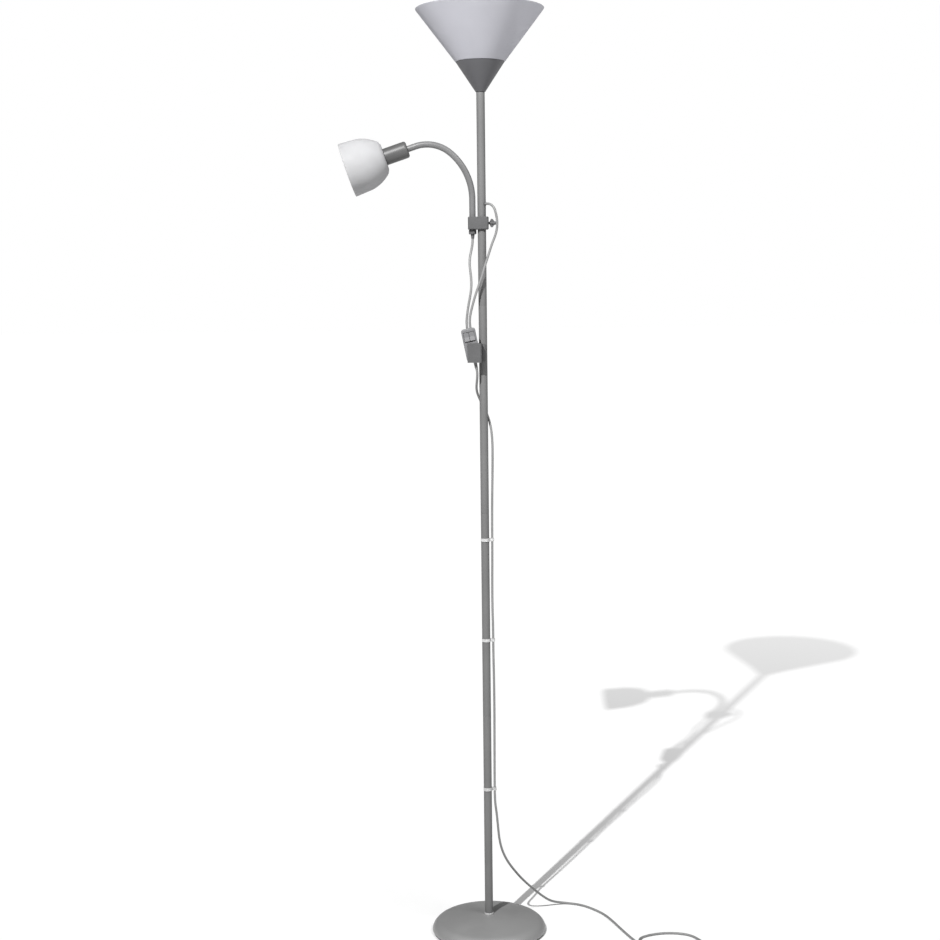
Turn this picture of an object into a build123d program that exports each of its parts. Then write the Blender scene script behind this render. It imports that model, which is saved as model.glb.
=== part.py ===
from build123d import *
import os
from math import asin, ceil, cos, degrees, pi, radians, sin, sqrt, tan

os.makedirs("parts", exist_ok=True)

# Torchiere floor lamp with a reading light on a flexible arm. Millimetres, +Z up.
# The origin is on the floor, on the pole's axis. The reading light is on the -X side and -Y is the front.

# Clearances
seat_gap = 0.3  # between pieces that sit against each other
running_gap = 0.06  # radius to radius, where one piece turns or slides in another
push_gap = 0.05  # radius to radius, where a piece is pushed in and stays
thread_gap = 0.1  # radius to radius, between a thread and its nut

# Threaded tube that joins the pole, the base and the lampholders
tube_thread_radius = 5.0
tube_thread_bore = 3.25

# Base
pad_radius = 100.0
pad_width = 12.0
pad_height = 1.5
tray_clearance = 0.4
tray_wall = 1.6
tray_rim_height = 4.5
cover_radius = 113.5
cover_height = 33.0
cover_wall = 1.2
cover_dome_radius = 450.0
cover_edge_radius = 22.0
cover_lip_height = 4.6
cover_lip_length = 0.7  # straight part, measured inside
weight_radius = 105.0
weight_edge_height = 6.0
weight_shoulder_radius = 94.0
weight_thickness = 11.5
weight_boss_radius = 16.0
nut_recess_radius = 14.0
nut_recess_depth = 8.0
base_nut_across = 17.0
base_nut_height = 6.0
stud_engagement = 22.0
collar_radius = 9.0
collar_height = 3.5
collar_round = 0.7

# Pole
pole_radius = 8.0
pole_wall = 1.0
pole_top = 1646.0
pole_sections = 4
pole_end_length = 13.0
nipple_length = 24.0
grommet_height = 1436.5
grommet_azimuth = -38.0
grommet_flange_radius = 4.3
grommet_flange = 1.1
grommet_neck_radius = 3.4
grommet_groove = 1.2

# Uplight
cup_height = 56.0
cup_foot_radius = 9.2
cup_mouth_radius = 46.4
cup_wall = 1.8
cup_floor = 4.0
uplight_shade_height = 98.0
uplight_shade_foot_radius = 47.0
uplight_shade_rim_radius = 122.0
uplight_shade_wall = 1.8
uplight_holder_radius = 19.3
uplight_holder_taper = 20.0
uplight_bulb_cap_radius = 13.2
uplight_bulb_cap_length = 25.0
uplight_bulb_radius = 29.0
uplight_bulb_height = 70.0

# Reading head
head_dip = 18.5  # below the level
head_cover_radius = 16.0
head_cover_length = 46.0
head_cover_wall = 1.6
head_cover_round = 9.0
reading_shade_back_radius = 24.5
reading_shade_shoulder_radius = 31.5
reading_shade_shoulder_depth = 3.5
reading_shade_belly_radius = 42.3
reading_shade_belly_depth = 19.0
reading_shade_waist_radius = 50.0
reading_shade_waist_depth = 42.0
reading_shade_rim_radius = 52.0
reading_shade_depth = 75.5
reading_shade_wall = 1.6
reading_holder_radius = 13.6
reading_holder_taper = 9.0
reading_bulb_cap_radius = 6.9
reading_bulb_cap_length = 27.0
reading_bulb_radius = 22.5
reading_bulb_height = 54.0
lampholder_wall = 1.8
contact_wall = 0.5
contact_height = 18.0
bulb_wall = 1.0
bulb_neck_length = 4.0
bulb_neck_insert = 3.0
bulb_flare = 35.0  # below the widest level, where the neck's flare meets the globe
shade_ring_width = 7.0
shade_ring_height = 6.0

# Clamp
clamp_centre_height = 1400.0
clamp_height = 24.0
clamp_left = 26.5
clamp_right = 13.0
clamp_depth = 26.0
clamp_corner = 4.0
clamp_edge = 1.2
arm_offset = 17.7
screw_radius = 2.45
screw_pitch = 0.8
pad_piece_radius = 3.9
pad_piece_thickness = 1.5
wing_hub_start = 15.0
wing_hub_end = 27.6
wing_hub_radius = 3.2
wing_tip_start = 17.5
wing_tip_end = 20.5
wing_reach = 8.0
wing_root = 2.6
wing_tip_round = 1.2
wing_thickness = 2.6

# Flexible arm
arm_radius = 6.0
arm_bore = 3.0
arm_foot_rise = 12.0  # of the fixed foot above the clamp
arm_straight = 21.0
arm_first_radius = 115.0
arm_first_turn = 50.0
arm_first_links = 4
arm_second_radius = 69.2
arm_second_links = 3
arm_tail = 15.0  # straight end before the head
arm_end_thread = 10.0  # inside the head
ball_gap = 0.1
foot_step = 6.0  # above the clamp's underside, where the foot rests
foot_nut_radius = 7.3
foot_nut_height = 9.0
relief_root_radius = 3.9
relief_tip_radius = 2.9
relief_length = 8.0
relief_insert = 6.0

# Switch
switch_x = -23.3
switch_y = -21.0
switch_z = 1169.5
switch_lean = 11.4
switch_width = 27.5
switch_length = 62.0
switch_half_depth = 10.8
switch_corner = 5.0
switch_edge = 2.2
switch_wall = 1.8
uplight_lead_offset = 5.5
reading_lead_offset = -0.7
mains_offset = 0.8
lead_insert = 3.0  # of the leads inside the switch
switch_screw_radius = 1.3
switch_screw_reach = 6.0
switch_screw_head_radius = 2.5
switch_screw_head_height = 1.5
switch_screw_spread = 9.3
switch_screw_drop = 25.0
switch_boss_radius = 3.1
rocker_centre = 15.0  # above the middle of the switch
rocker_width = 9.6
rocker_gap = 0.8
rocker_end_radius = 9.4
rocker_axle_depth = 3.3  # behind the front face
rocker_rise = 1.9  # of its ends in front of the face
rocker_vee = 0.9
rocker_depth = 5.6  # behind the front face
rocker_tilt = 6.0
rocker_axle_radius = 1.0
rocker_axle_bite = 0.9  # into each side wall
terminal_width = 5.0
terminal_height = 9.0
terminal_depth = 5.0
terminal_pitch = 7.6
terminal_centre = 3.0
holder_left = -30.3
holder_wall = 1.8
holder_side_wall = 1.4
holder_back_wall = 1.5
holder_top = 1172.0
holder_corner = 4.2
holder_slot = 8.4
holder_clip_wall = 1.6
holder_clip_start = 80.0
holder_clip_wrap = 220.0
holder_clip_margin = 2.0
mains_relief_length = 17.0
mains_relief_root = 3.5
mains_relief_tip = 2.85
mains_relief_neck = 3.0
mains_relief_flange = 4.2
mains_relief_flange_height = 1.2

# Leads
lead_diameter = 4.6
corner_share = 0.45  # of the shorter run beside a corner, taken by its arc
clip_heights = (789.0, 590.0, 290.0)
clip_band = 6.0
clip_wall = 1.2
clip_reach = 13.8
clip_hook_gap = 0.1
clip_slot = 3.4
coil_outer_radius = 34.0
coil_pitch = 5.2
coil_layer_rise = 5.15
coil_inward_count = 3
coil_outward_quarter_count = 13
coil_lead_in = 6.5
coil_lead_out = 4.6
coil_x = 326.0
coil_y = -128.0
tie_width = 6.0
tie_wall = 0.8
plug_x = 414.0
plug_start = -103.0
plug_relief_length = 24.0
plug_relief_root = 5.4
plug_relief_tip = 3.1
plug_length = 35.0
plug_width = 26.0
plug_back_width = 17.0
plug_taper = 12.0
plug_thickness = 13.6
plug_edge = 2.0
plug_lift = 0.25
pin_radius = 2.0
pin_length = 19.0
pin_spacing = 18.6
pin_root = 8.0  # inside the plug
pin_root_radius = 1.5
pin_tip_round = 0.9

lead_radius = lead_diameter / 2


def save(piece, name):
    piece.label = name
    export_step(piece, f"parts/{name}.step")


def height_plane(height):
    return Plane.XY.offset(height)


def side_plane(height):
    """Plane through the pole's axis, x to the right and y up, with its origin at a height."""
    return Plane(origin=(0, 0, height), x_dir=(1, 0, 0), z_dir=(0, -1, 0))


def spun(side, outline):
    """Solid of revolution about the plane's own y axis, from points (radius, height)."""
    with BuildPart() as piece:
        with BuildSketch(side):
            with BuildLine():
                Polyline(*outline, close=True)
            make_face()
        revolve(axis=Axis(side.origin, side.y_dir))
    return piece.part


# ---------------------------------------------------------------- base
weight_bottom = pad_height + tray_wall
weight_top = weight_bottom + weight_thickness
nut_seat = weight_bottom + nut_recess_depth
stud_hole_radius = tube_thread_radius + thread_gap
pole_foot = cover_height + collar_height
cover_dome_centre = cover_height - cover_dome_radius
cover_knee = asin((cover_radius - cover_edge_radius) / (cover_dome_radius - cover_edge_radius))
cover_edge_centre = cover_dome_centre + (cover_dome_radius - cover_edge_radius) * cos(cover_knee)
cover_inner_edge = cover_edge_radius - cover_wall
cover_edge_end = asin((cover_lip_height + cover_lip_length - cover_edge_centre) / cover_inner_edge)
cover_edge_roll = 90 - degrees(cover_knee + cover_edge_end)
tray_rise = pad_height + tray_rim_height - cover_edge_centre
tray_space = cover_radius - cover_edge_radius + sqrt(cover_inner_edge**2 - tray_rise**2)
tray_radius = tray_space - tray_clearance

with BuildPart() as base_pad:
    with BuildSketch():
        Circle(pad_radius)
        Circle(pad_radius - pad_width, mode=Mode.SUBTRACT)
    extrude(amount=pad_height)
save(base_pad.part, "base_pad")

base_tray = spun(
    side_plane(pad_height),
    [
        (0, 0),
        (tray_radius, 0),
        (tray_radius, tray_rim_height),
        (tray_radius - tray_wall, tray_rim_height),
        (tray_radius - tray_wall, tray_wall),
        (0, tray_wall),
    ],
)
save(base_tray, "base_tray")

boss_top = cover_dome_centre + sqrt((cover_dome_radius - cover_wall) ** 2 - weight_boss_radius**2) - seat_gap
base_weight = spun(
    side_plane(0),
    [
        (nut_recess_radius, weight_bottom),
        (weight_radius, weight_bottom),
        (weight_radius, weight_bottom + weight_edge_height),
        (weight_shoulder_radius, weight_top),
        (weight_boss_radius, weight_top),
        (weight_boss_radius, boss_top),
        (stud_hole_radius, boss_top),
        (stud_hole_radius, nut_seat),
        (nut_recess_radius, nut_seat),
    ],
)
save(base_weight, "base_weight")


def cover_face(inset):
    """Top arc and rolled edge of the cover's section, inset from its outer face, with both ends."""
    dome = cover_dome_radius - inset
    hole_angle = asin(stud_hole_radius / dome)
    angles = (hole_angle, (hole_angle + cover_knee) / 2, cover_knee)
    start, middle, knee = [(dome * sin(a), cover_dome_centre + dome * cos(a)) for a in angles]
    ThreePointArc(start, middle, knee)
    roll = JernArc(
        start=knee,
        tangent=(cos(cover_knee), -sin(cover_knee)),
        radius=cover_edge_radius - inset,
        arc_size=-cover_edge_roll,
    )
    lip = ((roll @ 1).X, cover_lip_height)
    Line(roll @ 1, lip)
    return start, lip


with BuildPart() as base_cover:
    with BuildSketch(side_plane(0)):
        with BuildLine():
            outer_start, outer_lip = cover_face(0)
            inner_start, inner_lip = cover_face(cover_wall)
            Line(outer_start, inner_start)
            Line(outer_lip, inner_lip)
        make_face()
    revolve(axis=Axis.Z)
save(base_cover.part, "base_cover")

stud_bottom = nut_seat - base_nut_height - seat_gap
with BuildPart() as base_stud:
    with BuildSketch(height_plane(stud_bottom)):
        Circle(tube_thread_radius)
        Circle(tube_thread_bore, mode=Mode.SUBTRACT)
    extrude(amount=pole_foot + stud_engagement - stud_bottom)
save(base_stud.part, "base_stud")

with BuildPart() as base_nut:
    with BuildSketch(height_plane(nut_seat - base_nut_height)):
        RegularPolygon(base_nut_across / 2, 6, major_radius=False)
        Circle(stud_hole_radius, mode=Mode.SUBTRACT)
    extrude(amount=base_nut_height)
save(base_nut.part, "base_nut")

with BuildPart() as base_collar:
    with BuildSketch(height_plane(cover_height)):
        Circle(collar_radius)
        Circle(stud_hole_radius, mode=Mode.SUBTRACT)
    extrude(amount=collar_height)
    fillet(base_collar.edges().group_by(Axis.Z)[-1].sort_by(SortBy.LENGTH)[-1], collar_round)
save(base_collar.part, "base_collar")

# ---------------------------------------------------------------- pole
section_length = (pole_top - pole_foot) / pole_sections
pole_inner_radius = pole_radius - pole_wall
grommet_way = Vector(cos(radians(grommet_azimuth)), sin(radians(grommet_azimuth)), 0)
grommet_plane = Plane(origin=(0, 0, grommet_height), x_dir=(0, 0, 1), z_dir=grommet_way)
grommet_face = pole_radius + grommet_flange


def pole_section(number):
    """One length of pole: a thin tube whose thick ends are threaded inside."""
    bottom = pole_foot + number * section_length
    with BuildPart() as section:
        with BuildSketch(height_plane(bottom)):
            Circle(pole_radius)
            Circle(stud_hole_radius, mode=Mode.SUBTRACT)
        extrude(amount=section_length)
        with BuildSketch(height_plane(bottom + pole_end_length)):
            Circle(pole_inner_radius)
        extrude(amount=section_length - 2 * pole_end_length, mode=Mode.SUBTRACT)
        if bottom < grommet_height < bottom + section_length:
            with BuildSketch(grommet_plane):
                Circle(grommet_neck_radius + push_gap)
            extrude(amount=2 * pole_radius, mode=Mode.SUBTRACT)
    return section.part


for number in range(pole_sections):
    save(pole_section(number), f"pole_section_{number + 1}")

with BuildPart() as pole_nipples:
    for number in range(1, pole_sections + 1):
        with BuildSketch(height_plane(pole_foot + number * section_length - nipple_length / 2)):
            Circle(tube_thread_radius)
            Circle(tube_thread_bore, mode=Mode.SUBTRACT)
        extrude(amount=nipple_length)
save(pole_nipples.part, "pole_nipples")

grommet_inner_face = pole_inner_radius - grommet_groove - grommet_flange
with BuildPart() as grommet:
    with BuildSketch(grommet_plane.offset(pole_radius)):
        Circle(grommet_flange_radius)
    extrude(amount=grommet_flange)
    with BuildSketch(grommet_plane.offset(grommet_inner_face)):
        Circle(grommet_neck_radius)
    extrude(amount=pole_radius - grommet_inner_face)
    with BuildSketch(grommet_plane.offset(grommet_inner_face)):
        Circle(lead_radius + push_gap)
    extrude(amount=pole_radius, mode=Mode.SUBTRACT)
save(grommet.part, "grommet")

# ---------------------------------------------------------------- lampholders, bulbs and shade rings


def socket_floor(cap_length, mouth):
    """Height of the bore's floor in a lampholder."""
    return mouth - cap_length - contact_wall - 2 * seat_gap


def lampholder(side, radius, cap_radius, cap_length, entry, taper, mouth):
    """Lampholder threaded outside, from its wire entry to its open mouth, with a tapered foot."""
    floor = socket_floor(cap_length, mouth)
    bore = cap_radius + thread_gap + contact_wall + push_gap
    tongue = cap_radius / 4 + push_gap
    return spun(
        side,
        [
            (stud_hole_radius, entry),
            (stud_hole_radius + lampholder_wall, entry),
            (radius, entry + taper),
            (radius, mouth),
            (bore, mouth),
            (bore, floor),
            (tongue, floor),
            (tongue, floor - lampholder_wall),
            (stud_hole_radius, floor - lampholder_wall),
        ],
    )


def contacts(side, cap_radius, cap_length, mouth):
    """The shell round the bulb's cap, and the tongue under its tip."""
    floor = socket_floor(cap_length, mouth)
    shell = cap_radius + thread_gap
    tongue = cap_radius / 4
    shell_bottom = floor + (mouth - floor - contact_height) / 2
    with BuildPart() as piece:
        with BuildSketch(side):
            with BuildLine():
                Polyline(
                    (0, floor - lampholder_wall),
                    (tongue, floor - lampholder_wall),
                    (tongue, floor),
                    (2 * tongue, floor),
                    (2 * tongue, floor + contact_wall),
                    (0, floor + contact_wall),
                    close=True,
                )
            make_face()
            with Locations((shell + contact_wall / 2, shell_bottom + contact_height / 2)):
                Rectangle(contact_wall, contact_height)
        revolve(axis=Axis(side.origin, side.y_dir))
    return piece.part


def bulb_cap(side, cap_radius, cap_length, mouth):
    """Metal cap of a bulb, tip down in its lampholder and open above for the globe's neck."""
    top = mouth + contact_wall
    bottom = mouth - cap_length
    tip = cap_radius / 3
    return spun(
        side,
        [
            (0, bottom),
            (tip, bottom),
            (cap_radius, bottom + tip),
            (cap_radius, top),
            (cap_radius - bulb_wall, top),
            (cap_radius - bulb_wall, bottom + 2 * tip),
            (0, bottom + 2 * tip),
        ],
    )


def bulb_globe(side, cap_radius, radius, height, mouth):
    """Hollow globe whose neck stands in the bulb's cap."""
    bottom = mouth + contact_wall
    centre = bottom + height - radius
    neck = cap_radius - bulb_wall - push_gap
    flare = (radius * cos(radians(bulb_flare)), centre - radius * sin(radians(bulb_flare)))
    with BuildPart() as globe:
        with BuildSketch(side):
            with BuildLine():
                Polyline((neck, bottom - bulb_neck_insert), (neck, bottom + bulb_neck_length), flare)
                ThreePointArc(flare, (radius, centre), (0, centre + radius))
                offset(amount=bulb_wall, side=Side.LEFT)
            make_face()
        revolve(axis=Axis(side.origin, side.y_dir))
    return globe.part


def shade_ring(side, holder_radius, bottom):
    """Threaded ring that holds a shade down on its lampholder."""
    inner = holder_radius + thread_gap
    outer = holder_radius + shade_ring_width
    return spun(
        side,
        [
            (inner, bottom),
            (outer, bottom),
            (outer, bottom + shade_ring_height / 3),
            (inner + shade_ring_width / 3, bottom + shade_ring_height),
            (inner, bottom + shade_ring_height),
        ],
    )


# ---------------------------------------------------------------- uplight
uplight_side = side_plane(pole_top)
cup_slope = (cup_mouth_radius - cup_foot_radius) / cup_height
cup_across = cup_wall * sqrt(1 + cup_slope**2)
uplight_cup = spun(
    uplight_side,
    [
        (stud_hole_radius, 0),
        (cup_foot_radius, 0),
        (cup_mouth_radius, cup_height),
        (cup_mouth_radius - cup_across, cup_height),
        (cup_foot_radius + cup_slope * cup_floor - cup_across, cup_floor),
        (stud_hole_radius, cup_floor),
    ],
)
save(uplight_cup, "uplight_cup")

uplight_slope = (uplight_shade_rim_radius - uplight_shade_foot_radius) / uplight_shade_height
uplight_across = uplight_shade_wall * sqrt(1 + uplight_slope**2)
uplight_floor_radius = uplight_shade_foot_radius + uplight_slope * uplight_shade_wall - uplight_across
uplight_shade_floor = cup_height + uplight_shade_wall
uplight_shade_top = cup_height + uplight_shade_height
uplight_shade = spun(
    uplight_side,
    [
        (uplight_holder_radius + seat_gap, cup_height),
        (uplight_shade_foot_radius, cup_height),
        (uplight_shade_rim_radius, uplight_shade_top),
        (uplight_shade_rim_radius - uplight_across, uplight_shade_top),
        (uplight_floor_radius, uplight_shade_floor),
        (uplight_holder_radius + seat_gap, uplight_shade_floor),
    ],
)
save(uplight_shade, "uplight_shade")

uplight_mouth = uplight_shade_floor + shade_ring_height + seat_gap
uplight_tongue = socket_floor(uplight_bulb_cap_length, uplight_mouth) - lampholder_wall
uplight_lampholder = lampholder(
    uplight_side,
    uplight_holder_radius,
    uplight_bulb_cap_radius,
    uplight_bulb_cap_length,
    cup_floor,
    uplight_holder_taper,
    uplight_mouth,
)
save(uplight_lampholder, "uplight_lampholder")
save(
    contacts(uplight_side, uplight_bulb_cap_radius, uplight_bulb_cap_length, uplight_mouth),
    "uplight_contacts",
)
save(shade_ring(uplight_side, uplight_holder_radius, uplight_shade_floor), "uplight_shade_ring")
save(
    bulb_cap(uplight_side, uplight_bulb_cap_radius, uplight_bulb_cap_length, uplight_mouth),
    "uplight_bulb_cap",
)
save(
    bulb_globe(
        uplight_side, uplight_bulb_cap_radius, uplight_bulb_radius, uplight_bulb_height, uplight_mouth
    ),
    "uplight_bulb_globe",
)

# ---------------------------------------------------------------- clamp on the pole
clamp_bottom = clamp_centre_height - clamp_height / 2
clamp_top = clamp_centre_height + clamp_height / 2
pole_bore = pole_radius + running_gap
pad_face = pole_bore + pad_piece_thickness
pocket_end = pad_face + screw_pitch + seat_gap - running_gap
screw_side = Plane(origin=(0, 0, clamp_centre_height), x_dir=(0, 1, 0), z_dir=(1, 0, 0))

with BuildPart() as clamp_block:
    with BuildSketch(height_plane(clamp_bottom)):
        with Locations(((clamp_right - clamp_left) / 2, 0)):
            RectangleRounded(clamp_left + clamp_right, clamp_depth, clamp_corner)
    extrude(amount=clamp_height)
    rims = clamp_block.faces().filter_by(Axis.Z).edges()
    chamfer(rims, clamp_edge)
    with BuildSketch(height_plane(clamp_bottom)):
        Circle(pole_bore)
        with Locations((-arm_offset, 0)):
            Circle(tube_thread_radius + running_gap)
    extrude(amount=clamp_height, mode=Mode.SUBTRACT)
    with BuildSketch(height_plane(clamp_bottom + foot_step)):
        with Locations((-arm_offset, 0)):
            Circle(arm_radius + running_gap)
    extrude(amount=clamp_height, mode=Mode.SUBTRACT)
    with BuildSketch(screw_side):
        Circle(pad_piece_radius + thread_gap)
    extrude(amount=pocket_end, mode=Mode.SUBTRACT)
    with BuildSketch(screw_side):
        Circle(screw_radius + thread_gap)
    extrude(amount=clamp_right, mode=Mode.SUBTRACT)
save(clamp_block.part, "clamp_block")

with BuildPart() as pressure_pad:
    with BuildSketch(screw_side.offset(pole_bore)):
        Circle(pad_piece_radius)
    extrude(amount=pad_piece_thickness)
save(pressure_pad.part, "pressure_pad")

with BuildPart() as wing_screw:
    with BuildSketch(screw_side.offset(pad_face + push_gap)):
        Circle(screw_radius)
    extrude(amount=wing_hub_start - pad_face - push_gap)
    with BuildSketch(screw_side.offset(wing_hub_start)):
        Circle(wing_hub_radius)
    extrude(amount=wing_hub_end - wing_hub_start)
    hub_rim = wing_screw.faces().sort_by(Axis.X)[-1].edges()
    fillet(hub_rim, wing_hub_radius / 2)
    with BuildSketch(side_plane(clamp_centre_height).offset(-wing_thickness / 2)):
        with BuildLine():
            Polyline(
                (wing_hub_start, wing_root),
                (wing_tip_start, wing_reach),
                (wing_tip_end, wing_reach),
                (wing_hub_end - wing_root, wing_root),
                (wing_hub_end - wing_root, -wing_root),
                (wing_tip_end, -wing_reach),
                (wing_tip_start, -wing_reach),
                (wing_hub_start, -wing_root),
                close=True,
            )
        make_face()
        fillet(vertices().filter_by(lambda corner: abs(corner.Y) > wing_reach / 2), wing_tip_round)
    extrude(amount=wing_thickness)
save(wing_screw.part, "wing_screw")

# ---------------------------------------------------------------- flexible arm
foot_seat = clamp_bottom + foot_step
foot_bottom = clamp_bottom - foot_nut_height
arm_foot_top = clamp_top + arm_foot_rise
arm_second_turn = 90 + head_dip - arm_first_turn
first_centre = Vector(-arm_offset - arm_first_radius, 0, arm_foot_top + arm_straight)


def arm_way(turn):
    """Direction of the arm where it has turned by an angle from upright."""
    return Vector(-sin(radians(turn)), 0, cos(radians(turn)))


def arm_out(turn):
    """Direction from a bend's centre to the arm."""
    return Vector(cos(radians(turn)), 0, sin(radians(turn)))


second_centre = first_centre + arm_out(arm_first_turn) * (arm_first_radius - arm_second_radius)


def arm_station(centre, radius, turn):
    """Cross-section of the arm on a bend."""
    return Plane(origin=centre + arm_out(turn) * radius, x_dir=(0, 1, 0), z_dir=arm_way(turn))


def ball_end(station):
    """Round end of a link, hollow, standing on a cross-section of the arm."""
    side = Plane(origin=station.origin, x_dir=station.x_dir, z_dir=station.x_dir.cross(station.z_dir))
    bore_height = sqrt(arm_radius**2 - arm_bore**2)
    middle = radians(30)
    with BuildPart() as ball:
        with BuildSketch(side):
            with BuildLine():
                ThreePointArc(
                    (arm_radius, 0),
                    (arm_radius * cos(middle), arm_radius * sin(middle)),
                    (arm_bore, bore_height),
                )
                Polyline((arm_bore, bore_height), (arm_bore, 0), (arm_radius, 0))
            make_face()
        revolve(axis=Axis(station.origin, station.z_dir))
    return ball.part


def ring_face():
    Circle(arm_radius)
    Circle(arm_bore, mode=Mode.SUBTRACT)


def arm_link(start, centre, turn, end, tail=0.0):
    """Link between two hinges: a cup over the ball below it, a bend, and a ball or a straight tail."""
    with BuildPart() as link:
        with BuildSketch(start):
            ring_face()
        if turn:
            revolve(axis=Axis(centre, (0, -1, 0)), revolution_arc=turn)
        else:
            extrude(amount=(end.origin - start.origin).length)
        if tail:
            with BuildSketch(end):
                ring_face()
            extrude(amount=tail)
            with BuildSketch(end.offset(tail)):
                Circle(tube_thread_radius)
                Circle(arm_bore, mode=Mode.SUBTRACT)
            extrude(amount=arm_end_thread)
        else:
            add(ball_end(end))
        with Locations(start.origin):
            Sphere(arm_radius + ball_gap, mode=Mode.SUBTRACT)
    return link.part


foot_end = Plane(origin=(-arm_offset, 0, arm_foot_top), x_dir=(0, 1, 0), z_dir=(0, 0, 1))
with BuildPart() as arm_foot_tube:
    with BuildSketch(foot_end.offset(foot_bottom - arm_foot_top)):
        Circle(tube_thread_radius)
        Circle(arm_bore, mode=Mode.SUBTRACT)
    extrude(amount=foot_seat - foot_bottom)
    with BuildSketch(foot_end.offset(foot_seat - arm_foot_top)):
        ring_face()
    extrude(amount=arm_foot_top - foot_seat)
    add(ball_end(foot_end))
save(arm_foot_tube.part, "arm_foot_tube")

foot_side = Plane(origin=(-arm_offset, 0, foot_bottom), x_dir=(1, 0, 0), z_dir=(0, -1, 0))
nut_top = foot_nut_height - seat_gap
with BuildPart() as arm_foot_nut:
    with BuildSketch(height_plane(foot_bottom)):
        with Locations((-arm_offset, 0)):
            Circle(foot_nut_radius)
            Circle(stud_hole_radius, mode=Mode.SUBTRACT)
    extrude(amount=nut_top)
    chamfer(arm_foot_nut.edges().group_by(SortBy.LENGTH)[-1], clamp_edge)
save(arm_foot_nut.part, "arm_foot_nut")

arm_relief = spun(
    foot_side,
    [
        (lead_radius + push_gap, -relief_length),
        (relief_tip_radius, -relief_length),
        (relief_root_radius, 0),
        (arm_bore - push_gap, 0),
        (arm_bore - push_gap, relief_insert),
        (lead_radius + push_gap, relief_insert),
    ],
)
save(arm_relief, "arm_relief")

hinge_stations = [foot_end, foot_end.offset(arm_straight)]
link_bends = [(first_centre, 0)]
first_step = arm_first_turn / arm_first_links
for number in range(1, arm_first_links + 1):
    hinge_stations.append(arm_station(first_centre, arm_first_radius, number * first_step))
    link_bends.append((first_centre, first_step))
second_step = arm_second_turn / arm_second_links
for number in range(1, arm_second_links + 1):
    turn = arm_first_turn + number * second_step
    hinge_stations.append(arm_station(second_centre, arm_second_radius, turn))
    link_bends.append((second_centre, second_step))

for number, (centre, turn) in enumerate(link_bends, start=1):
    tail = arm_tail if number == len(link_bends) else 0.0
    link = arm_link(hinge_stations[number - 1], centre, turn, hinge_stations[number], tail)
    save(link, f"arm_link_{number}")

# ---------------------------------------------------------------- reading head
head_origin = hinge_stations[-1].origin + arm_way(90 + head_dip) * arm_tail
head_side = Plane(origin=head_origin, x_dir=arm_out(90 + head_dip), z_dir=(0, -1, 0))
head_axis = Axis(head_origin, head_side.y_dir)

with BuildPart() as reading_holder_cover:
    with BuildSketch(head_side):
        with BuildLine():
            Line((stud_hole_radius, 0), (head_cover_radius - head_cover_round, 0))
            JernArc((head_cover_radius - head_cover_round, 0), (1, 0), head_cover_round, 90)
            Line((head_cover_radius, head_cover_round), (head_cover_radius, head_cover_length))
            offset(amount=head_cover_wall, side=Side.LEFT)
        make_face()
    revolve(axis=head_axis)
save(reading_holder_cover.part, "reading_holder_cover")

shade_floor = head_cover_length + reading_shade_wall
reading_mouth = shade_floor + shade_ring_height + seat_gap
reading_lampholder = lampholder(
    head_side,
    reading_holder_radius,
    reading_bulb_cap_radius,
    reading_bulb_cap_length,
    head_cover_wall,
    reading_holder_taper,
    reading_mouth,
)
save(reading_lampholder, "reading_lampholder")
save(
    contacts(head_side, reading_bulb_cap_radius, reading_bulb_cap_length, reading_mouth),
    "reading_contacts",
)
save(shade_ring(head_side, reading_holder_radius, shade_floor), "reading_shade_ring")
save(
    bulb_cap(head_side, reading_bulb_cap_radius, reading_bulb_cap_length, reading_mouth),
    "reading_bulb_cap",
)
save(
    bulb_globe(head_side, reading_bulb_cap_radius, reading_bulb_radius, reading_bulb_height, reading_mouth),
    "reading_bulb_globe",
)

with BuildPart() as reading_shade:
    shoulder = (reading_shade_shoulder_radius, head_cover_length + reading_shade_shoulder_depth)
    belly = (reading_shade_belly_radius, head_cover_length + reading_shade_belly_depth)
    waist = (reading_shade_waist_radius, head_cover_length + reading_shade_waist_depth)
    with BuildSketch(head_side):
        with BuildLine():
            Polyline(
                (reading_holder_radius + seat_gap, head_cover_length),
                (reading_shade_back_radius, head_cover_length),
                shoulder,
            )
            ThreePointArc(shoulder, belly, waist)
            Line(waist, (reading_shade_rim_radius, head_cover_length + reading_shade_depth))
            offset(amount=reading_shade_wall, side=Side.LEFT)
        make_face()
    revolve(axis=head_axis)
save(reading_shade.part, "reading_shade")

# ---------------------------------------------------------------- switch
switch_plane = Plane(
    origin=(switch_x, switch_y, switch_z),
    x_dir=(cos(radians(switch_lean)), 0, sin(radians(switch_lean))),
    z_dir=(0, -1, 0),
)
switch_top = switch_length / 2
axle_level = switch_half_depth - rocker_axle_depth
side_wall_inside = switch_width / 2 - switch_wall
rocker_window_width = 2 * (rocker_gap + rocker_width) + running_gap
screw_places = [(-switch_screw_spread, -switch_screw_drop), (switch_screw_spread, -switch_screw_drop)]


def switch_point(x, y, z=0.0):
    return switch_plane.from_local_coords((x, y, z))


def switch_across(x, y, z, tilt=0.0):
    """Plane square to the switch's width, x up its length, tipped to the front by an angle."""
    up = switch_plane.y_dir * cos(radians(tilt)) + switch_plane.z_dir * sin(radians(tilt))
    return Plane(origin=switch_point(x, y, z), x_dir=up, z_dir=switch_plane.x_dir)


def switch_along(x, y):
    """Plane square to the switch's length."""
    return Plane(origin=switch_point(x, y), x_dir=switch_plane.x_dir, z_dir=switch_plane.y_dir)


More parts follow.
